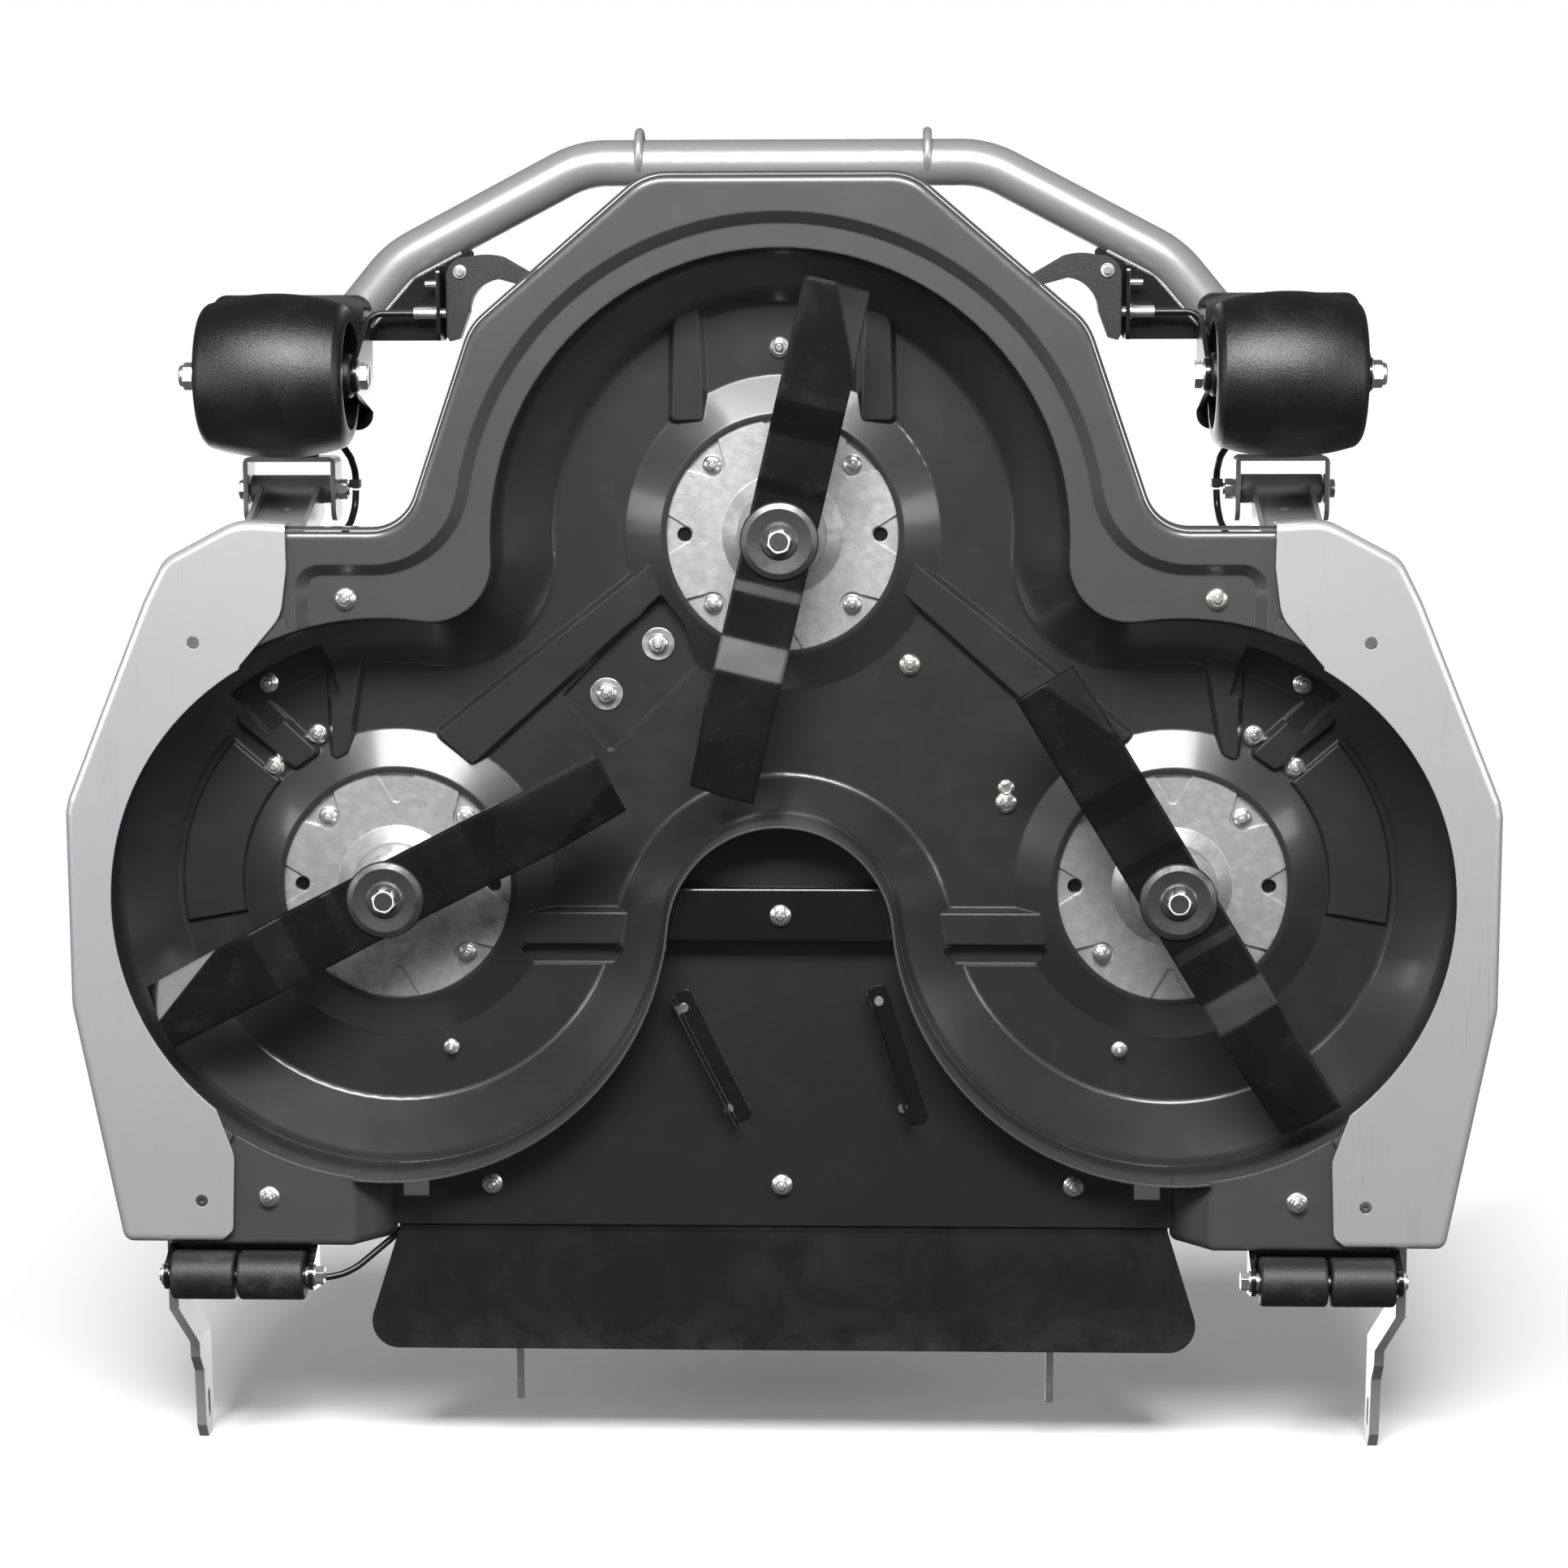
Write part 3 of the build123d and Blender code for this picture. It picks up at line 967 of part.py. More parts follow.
with BuildPart() as wheel_fork_right:
    with Locations((WHEEL_X, ahead(538), FORK_TOP)):
        Box(2 * FORK_GAP + 10, 138, 5, align=(Align.CENTER, Align.CENTER, Align.MIN))
    fillet(wheel_fork_right.edges().filter_by(Axis.Z), 16)
    for x in (WHEEL_X - FORK_GAP - 5, WHEEL_X + FORK_GAP):
        with BuildSketch(Plane.YZ.offset(x)):
            with BuildLine():
                low = WHEEL_Z - 3
                Polyline((WHEEL_Y - 17, low), (WHEEL_Y - 40, FORK_TOP + 5), (WHEEL_Y + 66, FORK_TOP + 5),
                         (WHEEL_Y + 17, low))
                ThreePointArc((WHEEL_Y + 17, low), (WHEEL_Y, low - 15), (WHEEL_Y - 17, low))
            make_face()
        extrude(amount=5)
    with Locations((HINGE_X, ahead(500), FORK_TOP + 5)):
        Box(50, 60, 12, align=(Align.CENTER, Align.CENTER, Align.MIN))
    add(tube_form.part, mode=Mode.SUBTRACT)
    with Locations(Location((WHEEL_X, WHEEL_Y, WHEEL_Z), (0, 90, 0))):
        Cylinder(AXLE_R + 0.05, 400, mode=Mode.SUBTRACT)
    with Locations((WHEEL_X - FORK_GAP - 2.5, ahead(577), FORK_TOP - 12)):
        Box(12, 34, 30, align=(Align.CENTER, Align.CENTER, Align.MIN), mode=Mode.SUBTRACT)
with BuildPart() as wheel_fork_left:
    mirror(wheel_fork_right.part, about=Plane.YZ)
with BuildPart() as wheel_axles:
    bar_x(WHEEL_Y, WHEEL_Z, WHEEL_X - FORK_GAP - 5, WHEEL_X + FORK_GAP + 5, AXLE_R)
    hex_x(WHEEL_Y, WHEEL_Z, WHEEL_X - FORK_GAP - 16, WHEEL_X - FORK_GAP - 7.5, 14)
    bar_x(WHEEL_Y, WHEEL_Z, WHEEL_X - FORK_GAP - 7.5, WHEEL_X - FORK_GAP - 5, 16)
    bar_x(WHEEL_Y, WHEEL_Z, WHEEL_X + FORK_GAP + 5, WHEEL_X + FORK_GAP + 7, 16)
    hex_x(WHEEL_Y, WHEEL_Z, WHEEL_X + FORK_GAP + 7, WHEEL_X + FORK_GAP + 17, 14)
    bar_x(WHEEL_Y, WHEEL_Z, WHEEL_X + FORK_GAP + 17, WHEEL_X + FORK_GAP + 21, 11)

# Latches beside the front tube
LATCH_PIVOT = (330.0, ahead(630))
LATCH_Z = 182.0
LATCH_HALF = 10.0
LATCH_PLATE_X = 348.0
with BuildPart() as latch_handle_right:
    with BuildSketch(Plane.XY.offset(LATCH_Z - LATCH_HALF)):
        with BuildLine():
            Polyline(*place([(344.4, 622), (344.4, 565), (341, 559.5), (331, 562), (321, 589)]))
            ThreePointArc(*place([(321, 589), (308, 615), (290, 622.5)]))
            Polyline(*place([(290, 622.5), (262, 615), (234, 598), (228, 607), (255, 627), (286, 645)]))
            ThreePointArc(*place([(286, 645), (303, 647.5), (321, 644.8)]))
            ThreePointArc(*place([(321, 644.8), (340, 637), (344.4, 622)]))
        make_face()
    extrude(amount=2 * LATCH_HALF)
    with BuildSketch(Plane.XY.offset(LATCH_Z)):
        with Locations(Location((239, ahead(606)), 35)):
            RectangleRounded(26, 12, 5)
    extrude(amount=48)
    with Locations((*LATCH_PIVOT, LATCH_Z)):
        Cylinder(4.06, 60, mode=Mode.SUBTRACT)
with BuildPart() as latch_handle_left:
    mirror(latch_handle_right.part, about=Plane.YZ)
with BuildPart() as latch_bracket_right:
    gusset = place([(318, 618), (LATCH_PLATE_X, 560), (428, 560), (440, 600), (395, 645), (340, 672),
                    (318, 650)])
    extrude(flat(LATCH_Z + LATCH_HALF + 0.4, gusset, 3), amount=4)
    with Locations((LATCH_PLATE_X, ahead(560), LATCH_Z + LATCH_HALF + 4.4)):
        Box(4, 76, 46, align=(Align.MIN, Align.MIN, Align.MAX))
    fillet([e for e in latch_bracket_right.edges().filter_by(Axis.X) if e.center().Z < LATCH_Z - 20], 8)
    add(tube_form.part, mode=Mode.SUBTRACT)
    with Locations((*LATCH_PIVOT, LATCH_Z)):
        Cylinder(4.06, 60, mode=Mode.SUBTRACT)
    with Locations(Location((LATCH_PLATE_X, ahead(588), LATCH_Z - 7), (0, 90, 0))):
        Cylinder(5, 20, mode=Mode.SUBTRACT)
with BuildPart() as latch_bracket_left:
    mirror(latch_bracket_right.part, about=Plane.YZ)
with BuildPart() as latch_pins:
    for side in (1, -1):
        spot = (side * LATCH_PIVOT[0], LATCH_PIVOT[1])
        extrude(discs(LATCH_Z - LATCH_HALF - 2, [spot], 7), amount=1.6)
        extrude(discs(LATCH_Z - LATCH_HALF - 5, [spot], 4), amount=2 * LATCH_HALF + 12)
        extrude(discs(LATCH_Z + LATCH_HALF + 4.4, [spot], 7), amount=3)
    bar_x(ahead(617.7), LATCH_Z - 7, LATCH_PLATE_X + 4, LATCH_PLATE_X + 18, 3)
    bar_x(ahead(588), LATCH_Z - 7, LATCH_PLATE_X - 3, LATCH_PLATE_X + 18, 4.9)
    bar_x(ahead(588), LATCH_Z - 7, LATCH_PLATE_X + 4, LATCH_PLATE_X + 7, 8)
    bar_x(ahead(588), LATCH_Z - 7, LATCH_PLATE_X + 7, LATCH_PLATE_X + 30, 6)

# Cables: from each latch past the wheel to the hinge, on down to the deck, and one at the right roller
CABLE_R = 3.5
CABLE_BEND = 18.0
LIFT_BEND = 60.0
FRAME_CABLE = [(378.3, 588, 175), (420, 588, 172), (453, 530, 168), (459, 462, 169), (448, 440, 188),
               (446, 424, 205), (446, 407.5, 205)]
DECK_CABLE = [(446, 405.5, 205), (447, 388, 205), (449, 374, 188), (460, 345, 130), (462, 312, 62)]
LIFT_CABLE = [(505, -396, 61), (452, -398, 62), (398, -357, 96), (350, -290, 104)]


def cord_route(points, side, bend):
    """Centre line of a cable."""
    return FilletPolyline(*[(side * x, ahead(y), z) for x, y, z in points], radius=bend)


def cord_length(points, bend):
    """Length of a cable's centre line, bends included."""
    with BuildLine() as line:
        cord_route(points, 1, bend)
    return sum(edge.length for edge in line.edges())


with BuildPart() as frame_cables:
    for side in (1, -1):
        with BuildLine() as route:
            cord_route(FRAME_CABLE, side, CABLE_BEND)
        with BuildSketch(Plane(origin=route.line @ 0, z_dir=route.line % 0)):
            Circle(CABLE_R)
        sweep(path=route.line)
with BuildPart() as deck_cables:
    for side in (1, -1):
        with BuildLine() as route:
            cord_route(DECK_CABLE, side, CABLE_BEND)
        with BuildSketch(Plane(origin=route.line @ 0, z_dir=route.line % 0)):
            Circle(CABLE_R)
        sweep(path=route.line)
with BuildPart() as lift_cable:
    with BuildLine() as route:
        cord_route(LIFT_CABLE, 1, LIFT_BEND)
    with BuildSketch(Plane(origin=route.line @ 0, z_dir=route.line % 0)):
        Circle(CABLE_R)
    sweep(path=route.line)
with BuildPart() as cable_clips:
    with Locations((446.5, HINGE_Y + 6, FRAME_Z), (-446.5, HINGE_Y + 6, FRAME_Z)):
        Box(11, 8, 12)
    add(frame_cables.part, mode=Mode.SUBTRACT)
    add(deck_cables.part, mode=Mode.SUBTRACT)
with BuildPart() as cable_stops:
    extrude(discs(SHELF_Z + SHEET, place([(462, 312), (-462, 312)]), 7), amount=7)
    flap_top = PLATE_REAR_Z + PLATE_SHEET + FLAP_THICK
    extrude(discs(flap_top, place([(352, -292)]), 7), amount=100.4 - flap_top)
    add(deck_cables.part, mode=Mode.SUBTRACT)
    add(lift_cable.part, mode=Mode.SUBTRACT)
print("lift cable", round(cord_length(LIFT_CABLE, LIFT_BEND)), "long, deck cable",
      round(cord_length(DECK_CABLE, CABLE_BEND)), "frame cable", round(cord_length(FRAME_CABLE, CABLE_BEND)))

# Rear arms and their brackets
ARM_BAR = 10.0
ARM_LOW = 115.0
ARM_HIGH = 175.0
ARM_LINE = [(641, -290), (641, -448), (620, -484), (618, -ARM_TIP_BEHIND)]
with BuildPart() as rear_arm_right:
    half = ARM_BAR / 2
    outer = [(x + half, y) for x, y in ARM_LINE]
    inner = [(x - half, y) for x, y in reversed(ARM_LINE)]
    with BuildSketch(Plane.XY.offset(ARM_LOW)):
        Polygon(*place(outer + inner), align=None)
    extrude(amount=ARM_HIGH - ARM_LOW)
    with BuildSketch(Plane.YZ.offset(560)):
        Polygon(*[(ahead(y), z) for y, z in [(-290, 115), (-500, 115), (-520, 132), (-580, 132), (-595, 142),
                                             (-595, 160), (-580, 170), (-470, 175), (-290, 175)]], align=None)
    extrude(amount=120, mode=Mode.INTERSECT)
    with BuildSketch(Plane.YZ.offset(560)):
        with Locations((ahead(-561), 151)):
            SlotCenterToCenter(20, 11)
    extrude(amount=120, mode=Mode.SUBTRACT)
    with Locations(*[Location((640, ahead(y), 145), (0, 90, 0)) for y in (-310, -345)]):
        Cylinder(5.3, 60, mode=Mode.SUBTRACT)
with BuildPart() as rear_bracket_right:
    with Locations((600, ahead(-355), CORNER_TOP)):
        Box(36, 66, 5, align=(Align.MIN, Align.MIN, Align.MIN))
    with Locations((631, ahead(-355), CORNER_TOP)):
        Box(5, 66, 84, align=(Align.MIN, Align.MIN, Align.MIN))
    with BuildSketch(Plane.XZ.offset(-ahead(-325))):
        Polygon((600, CORNER_TOP + 5), (631, CORNER_TOP + 5), (631, CORNER_TOP + 60), align=None)
    extrude(amount=5)
    with Locations(*[Location((640, ahead(y), 145), (0, 90, 0)) for y in (-310, -345)]):
        Cylinder(5.3, 60, mode=Mode.SUBTRACT)
with BuildPart() as rear_arm_left:
    mirror(rear_arm_right.part, about=Plane.YZ)
with BuildPart() as rear_bracket_left:
    mirror(rear_bracket_right.part, about=Plane.YZ)
with BuildPart() as arm_bolts:
    for y in (-310, -345):
        bar_x(ahead(y), 145, 626, 651, 5)
        hex_x(ahead(y), 145, 646, 653, 9)
        hex_x(ahead(y), 145, 623, 631, 9)

# Rear rollers and their brackets
ROLLER_R = 25.0
ROLLER_Y = ahead(-384.7)
ROLLER_AXLE_R = 6.0
ROLLERS = {"inner": (485, 553), "outer": (556, 621.5)}
LUG_IN = 476.0
LUG_OUT = 624.0
with BuildPart() as roller_bracket_right:
    with Locations((LUG_IN, ahead(REAR_EDGE), 53)):
        Box(LUG_OUT - LUG_IN + 5, 48, 4, align=(Align.MIN, Align.MAX, Align.MIN))
    with Locations((LUG_IN, ahead(REAR_EDGE), 53)):
        Box(LUG_OUT - LUG_IN + 5, 4, 26, align=(Align.MIN, Align.MAX, Align.MIN))
    for x in (LUG_IN, LUG_OUT):
        with BuildSketch(Plane.YZ.offset(x)):
            with BuildLine():
                Polyline((ROLLER_Y - 15, ROLLER_R), (ROLLER_Y - 21, 57), (ahead(REAR_EDGE), 57),
                         (ahead(REAR_EDGE), 48), (ROLLER_Y + 15, ROLLER_R))
                ThreePointArc((ROLLER_Y + 15, ROLLER_R), (ROLLER_Y, ROLLER_R - 15), (ROLLER_Y - 15, ROLLER_R))
            make_face()
        extrude(amount=5)
    with Locations(Location((550, ROLLER_Y, ROLLER_R), (0, 90, 0))):
        Cylinder(ROLLER_AXLE_R, 300, mode=Mode.SUBTRACT)
with BuildPart() as roller_bracket_left:
    mirror(roller_bracket_right.part, about=Plane.YZ)
with BuildPart() as roller_axles:
    bar_x(ROLLER_Y, ROLLER_R, LUG_IN - 2, LUG_OUT + 5, ROLLER_AXLE_R)
    hex_x(ROLLER_Y, ROLLER_R, LUG_IN - 10, LUG_IN - 2, 9.5)
    bar_x(ROLLER_Y, ROLLER_R, LUG_IN - 2, LUG_IN, 11)
    bar_x(ROLLER_Y, ROLLER_R, LUG_OUT + 5, LUG_OUT + 8, 11)
    bar_x(ROLLER_Y, ROLLER_R, LUG_OUT + 8, LUG_OUT + 10.5, 7)
    bar_x(ROLLER_Y, ROLLER_R, LUG_IN + 5, ROLLERS["inner"][0] - 0.4, 9)
rollers = {}
for place_name, (first, last) in ROLLERS.items():
    with BuildPart() as roller:
        with BuildSketch(Plane.XZ):
            with BuildLine():
                Polyline((first, ROLLER_AXLE_R + 0.06), (first, ROLLER_R - 4))
                ThreePointArc((first, ROLLER_R - 4), (first + 1.2, ROLLER_R - 1.2), (first + 4, ROLLER_R))
                Polyline((first + 4, ROLLER_R), (last - 4, ROLLER_R))
                ThreePointArc((last - 4, ROLLER_R), (last - 1.2, ROLLER_R - 1.2), (last, ROLLER_R - 4))
                Polyline((last, ROLLER_R - 4), (last, ROLLER_AXLE_R + 0.06), (first, ROLLER_AXLE_R + 0.06))
            make_face()
        revolve(axis=Axis.X)
    rollers[place_name] = roller.part

# Two rods that stand out behind the flap
ROD_X = 278.0
ROD_Z = 130.0
with BuildPart() as rear_rods:
    for x in (ROD_X, -ROD_X):
        with Locations(Location((x, ahead(-418), ROD_Z), (90, 0, 0))):
            Cylinder(4, 256)
        with Locations((x, ahead(-322), PLATE_REAR_Z + PLATE_SHEET + FLAP_THICK)):
            Box(24, 6, ROD_Z + 8 - PLATE_REAR_Z - PLATE_SHEET - FLAP_THICK,
                align=(Align.CENTER, Align.CENTER, Align.MIN))
        with Locations((x, ahead(-322), PLATE_REAR_Z + PLATE_SHEET + FLAP_THICK)):
            Box(24, 26, 3, align=(Align.CENTER, Align.MIN, Align.MIN))

# Write every piece to its own file
pieces = {
    "deck_shell": deck_shell.part,
    "mulch_plug": mulch_plug.part,
    "plug_crossbar": plug_crossbar.part,
    "chute_plate": chute_plate.part,
    "chute_fins": chute_fins.part,
    "fin_rivets": fin_rivets.part,
    "rubber_flap": rubber_flap.part,
    "skirt_right": skirt_right.part,
    "skirt_left": skirt_left.part,
    "skirt_fasteners": skirt_fasteners.part,
    "flange_nuts": flange_nuts.part,
    "small_nuts": small_nuts.part,
    "spindle_bearings": spindle_bearings.part,
    "spindle_mounts": spindle_mounts.part,
    "mount_nuts": mount_nuts.part,
    "spindle_screws": spindle_screws.part,
    "drive_belt": drive_belt.part,
    "idler_pulley": Pos(*IDLER, 0) * idler_pulley.part,
    "idler_bracket": idler_bracket.part + idler_post.part,
    "idler_bolts": idler_bolts.part,
    "bumper_tube": bumper_tube.part,
    "hinge_brackets": hinge_bracket_right.part + hinge_bracket_left.part,
    "link_arms": link_arm_right.part + link_arm_left.part,
    "hinge_bolts": hinge_bolts.part,
    "wheel_right": Pos(WHEEL_X, WHEEL_Y, WHEEL_Z) * wheel_right.part,
    "wheel_left": Pos(-WHEEL_X, WHEEL_Y, WHEEL_Z) * wheel_right.part,
    "wheel_forks": wheel_fork_right.part + wheel_fork_left.part,
    "wheel_axles": wheel_axles.part,
    "latch_handle_right": latch_handle_right.part,
    "latch_handle_left": latch_handle_left.part,
    "latch_brackets": latch_bracket_right.part + latch_bracket_left.part,
    "latch_pins": latch_pins.part,
    "frame_cables": frame_cables.part,
    "deck_cables": deck_cables.part,
    "lift_cable": lift_cable.part,
    "rear_arms": rear_arm_right.part + rear_arm_left.part,
    "rear_brackets": rear_bracket_right.part + rear_bracket_left.part,
    "arm_bolts": arm_bolts.part,
    "roller_brackets": roller_bracket_right.part + roller_bracket_left.part,
    "roller_axles": roller_axles.part,
    "roller_right_inner": Pos(0, ROLLER_Y, ROLLER_R) * rollers["inner"],
    "roller_right_outer": Pos(0, ROLLER_Y, ROLLER_R) * rollers["outer"],
    "roller_left_inner": Pos(0, ROLLER_Y, ROLLER_R) * mirror(rollers["inner"], about=Plane.YZ),
    "roller_left_outer": Pos(0, ROLLER_Y, ROLLER_R) * mirror(rollers["outer"], about=Plane.YZ),
    "rear_rods": rear_rods.part,
    "cable_clips": cable_clips.part,
    "cable_stops": cable_stops.part,
}
for name, (x, y) in SPINDLES.items():
    wheel = double_pulley.part if name == "front" else pulley.part
    pieces["spindle_housing_" + name] = Pos(x, y, 0) * spindle_housing.part
    pieces["blade_" + name] = Location((x, y, 0), BLADE_ANGLES[name]) * blade.part
    pieces["blade_bolt_" + name] = Pos(x, y, 0) * blade_bolt.part
    pieces["spindle_shaft_" + name] = Pos(x, y, 0) * (spindle_shaft.part + wheel)

os.makedirs("parts", exist_ok=True)
for name, piece in pieces.items():
    piece.label = name
    export_step(piece, os.path.join("parts", name + ".step"))
print(len(pieces), "pieces")
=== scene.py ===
"""Looks of a three-blade lawn mower deck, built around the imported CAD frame.

Everything is in metres in the CAD frame: +Z up, +Y forward, +X to the machine's right.
"""

import json
import logging
import math
import random
from dataclasses import dataclass
from enum import Enum
from typing import Callable, Iterable, Sequence

import bmesh
import bpy
from mathutils import Matrix, Vector

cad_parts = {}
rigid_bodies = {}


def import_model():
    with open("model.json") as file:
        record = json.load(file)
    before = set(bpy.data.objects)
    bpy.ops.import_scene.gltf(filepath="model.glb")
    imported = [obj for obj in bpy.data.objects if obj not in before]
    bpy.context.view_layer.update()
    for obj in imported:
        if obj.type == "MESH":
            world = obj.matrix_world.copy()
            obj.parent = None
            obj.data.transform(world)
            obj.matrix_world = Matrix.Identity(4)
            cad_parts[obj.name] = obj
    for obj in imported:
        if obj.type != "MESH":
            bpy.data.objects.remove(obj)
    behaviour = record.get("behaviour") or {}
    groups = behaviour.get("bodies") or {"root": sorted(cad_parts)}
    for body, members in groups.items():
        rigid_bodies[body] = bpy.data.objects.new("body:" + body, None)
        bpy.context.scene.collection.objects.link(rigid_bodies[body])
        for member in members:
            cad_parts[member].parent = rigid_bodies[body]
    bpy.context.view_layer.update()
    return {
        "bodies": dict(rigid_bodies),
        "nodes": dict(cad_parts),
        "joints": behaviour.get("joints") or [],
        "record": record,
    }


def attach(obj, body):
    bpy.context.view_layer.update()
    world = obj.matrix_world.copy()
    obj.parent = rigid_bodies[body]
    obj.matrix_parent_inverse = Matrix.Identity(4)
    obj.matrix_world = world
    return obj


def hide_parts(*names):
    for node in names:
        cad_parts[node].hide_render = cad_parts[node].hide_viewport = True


log = logging.getLogger("mower_deck")

MM = 0.001
REAR_LINE_Y = -90.075
ARM_TIP_Y = -0.6855
WASHER_THICK = 2.0
BEVEL_SAMPLES = 4
FLAT_DOT = 0.99
EDGE_DOT = 0.72
Colour = tuple[float, float, float]
Point = tuple[float, float, float]


def at(x: float, ahead: float, z: float) -> Vector:
    """Point in metres from x, the distance ahead of the rear spindle line, and z, in millimetres.

    Args:
        x: Distance to the right in millimetres.
        ahead: Distance ahead of the rear spindle line in millimetres.
        z: Height above the floor in millimetres.

    Returns:
        The point in the CAD frame.
    """
    return Vector((x * MM, (ahead + REAR_LINE_Y) * MM, z * MM))


class Side(Enum):
    """Side of the machine."""

    RIGHT = 1
    LEFT = -1


# Shader maths


class Wire:
    """A shader socket or number that Python expressions can be written on."""

    def __init__(self, recipe: "Recipe", socket: object) -> None:
        """Keeps the socket with the recipe that owns its tree."""
        self.recipe = recipe
        self.socket = socket

    def _math(self, operation: str, first: object, second: object) -> "Wire":
        """Adds one Math node."""
        node = self.recipe.node("ShaderNodeMath", {"operation": operation}, {0: first, 1: second})
        return Wire(self.recipe, node.outputs[0])

    def __add__(self, other: object) -> "Wire":
        """Sum."""
        return self._math("ADD", self, other)

    __radd__ = __add__

    def __sub__(self, other: object) -> "Wire":
        """Difference."""
        return self._math("SUBTRACT", self, other)

    def __rsub__(self, other: object) -> "Wire":
        """Difference, reflected."""
        return self._math("SUBTRACT", other, self)

    def __mul__(self, other: object) -> "Wire":
        """Product."""
        return self._math("MULTIPLY", self, other)

    __rmul__ = __mul__

    def __pow__(self, other: object) -> "Wire":
        """Power."""
        return self._math("POWER", self, other)

    def clamped(self) -> "Wire":
        """The value kept between 0 and 1."""
        return self._math("MINIMUM", self._math("MAXIMUM", self, 0.0), 1.0)

    def at_most(self, other: object) -> "Wire":
        """The smaller of two values."""
        return self._math("MINIMUM", self, other)

    def at_least(self, other: object) -> "Wire":
        """The larger of two values."""
        return self._math("MAXIMUM", self, other)

    def span(self, low: float, high: float) -> "Wire":
        """The value stretched so that low becomes 0 and high becomes 1, and kept between them.

        Args:
            low: Value that becomes 0.
            high: Value that becomes 1.

        Returns:
            The stretched value.
        """
        limits = {0: self, 1: low, 2: high, 3: 0.0, 4: 1.0}
        node = self.recipe.node("ShaderNodeMapRange", {"clamp": True}, limits)
        return Wire(self.recipe, node.outputs[0])


class Recipe:
    """One procedural material under construction."""

    def __init__(self, name: str) -> None:
        """Starts a material with a Principled surface.

        Args:
            name: Material name.
        """
        self.material = bpy.data.materials.new(name)
        self.material.use_nodes = True
        self.tree = self.material.node_tree
        self.surface = self.tree.nodes["Principled BSDF"]
        self._object_point: Wire | None = None
        self._heights: list[tuple[Wire, float, float]] = []

    def node(self, kind: str, settings: dict | None = None, inputs: dict | None = None) -> bpy.types.Node:
        """Adds a node of any type.

        Args:
            kind: Node type, such as ShaderNodeTexNoise.
            settings: Attributes that are set before the sockets.
            inputs: Values or wires by socket name or number.

        Returns:
            The new node.
        """
        node = self.tree.nodes.new(kind)
        for key, value in (settings or {}).items():
            setattr(node, key, value)
        for key, value in (inputs or {}).items():
            self.feed(node.inputs[key], value)
        return node

    def feed(self, socket: bpy.types.NodeSocket, value: object) -> None:
        """Links a wire to a socket, or sets a plain value on it."""
        if isinstance(value, Wire):
            self.tree.links.new(value.socket, socket)
        elif isinstance(value, tuple) and len(value) == 3 and socket.type == "RGBA":
            socket.default_value = (*value, 1.0)
        else:
            socket.default_value = value

    def point(self) -> Wire:
        """Place on the object, in metres in the CAD frame."""
        if self._object_point is None:
            node = self.node("ShaderNodeTexCoord")
            self._object_point = Wire(self, node.outputs["Object"])
        return self._object_point

    def stretched(self, scale: Point) -> Wire:
        """Place on the object with each axis stretched."""
        node = self.node("ShaderNodeVectorMath", {"operation": "MULTIPLY"}, {0: self.point(), 1: scale})
        return Wire(self, node.outputs[0])

    def axis(self, name: str) -> Wire:
        """One coordinate of the place on the object, in metres."""
        node = self.node("ShaderNodeSeparateXYZ", inputs={0: self.point()})
        return Wire(self, node.outputs[name])

    def noise(self, scale: float, detail: float = 3.0, rough: float = 0.5, stretch: Point | None = None,
              warp: float = 0.0) -> Wire:
        """Noise from 0 to 1.

        Args:
            scale: Cells in a metre.
            detail: Octaves.
            rough: Weight of the finer octaves.
            stretch: Factors on the axes.
            warp: Distortion.

        Returns:
            The noise value.
        """
        place = self.stretched(stretch) if stretch else self.point()
        node = self.node("ShaderNodeTexNoise", inputs={
            "Vector": place, "Scale": scale, "Detail": detail, "Roughness": rough, "Distortion": warp})
        return Wire(self, node.outputs["Fac"])

    def cells(self, scale: float, feature: str = "F1", stretch: Point | None = None) -> Wire:
        """Distance in a cell pattern.

        Args:
            scale: Cells in a metre.
            feature: Voronoi feature.
            stretch: Factors on the axes.

        Returns:
            The distance value.
        """
        place = self.stretched(stretch) if stretch else self.point()
        node = self.node("ShaderNodeTexVoronoi", {"feature": feature}, {"Vector": place, "Scale": scale})
        return Wire(self, node.outputs["Distance"])

    def edges(self, radius: float) -> Wire:
        """How near a sharp edge is, from 0 on a flat face to 1 on the edge.

        Args:
            radius: Reach from the edge in metres.

        Returns:
            The nearness.
        """
        soft = self.node("ShaderNodeBevel", {"samples": BEVEL_SAMPLES}, {"Radius": radius})
        hard = self.node("ShaderNodeNewGeometry")
        dot = self.node("ShaderNodeVectorMath", {"operation": "DOT_PRODUCT"},
                        {0: Wire(self, soft.outputs[0]), 1: Wire(self, hard.outputs["Normal"])})
        return Wire(self, dot.outputs["Value"]).span(FLAT_DOT, EDGE_DOT)

    def blend(self, factor: object, first: object, second: object) -> Wire:
        """Mix of two colours.

        Args:
            factor: Share of the second.
            first: Colour or wire.
            second: Colour or wire.

        Returns:
            The mixed colour.
        """
        node = self.node("ShaderNodeMix", {"data_type": "RGBA"})
        for socket, value in ((node.inputs[0], factor), (node.inputs[6], first), (node.inputs[7], second)):
            self.feed(socket, value)
        return Wire(self, node.outputs[2])

    def dent(self, height: Wire, distance: float, strength: float = 1.0) -> None:
        """Adds one layer of relief.

        Args:
            height: Relief from 0 to 1.
            distance: Its depth in metres.
            strength: How much it shows.
        """
        self._heights.append((height, distance, strength))

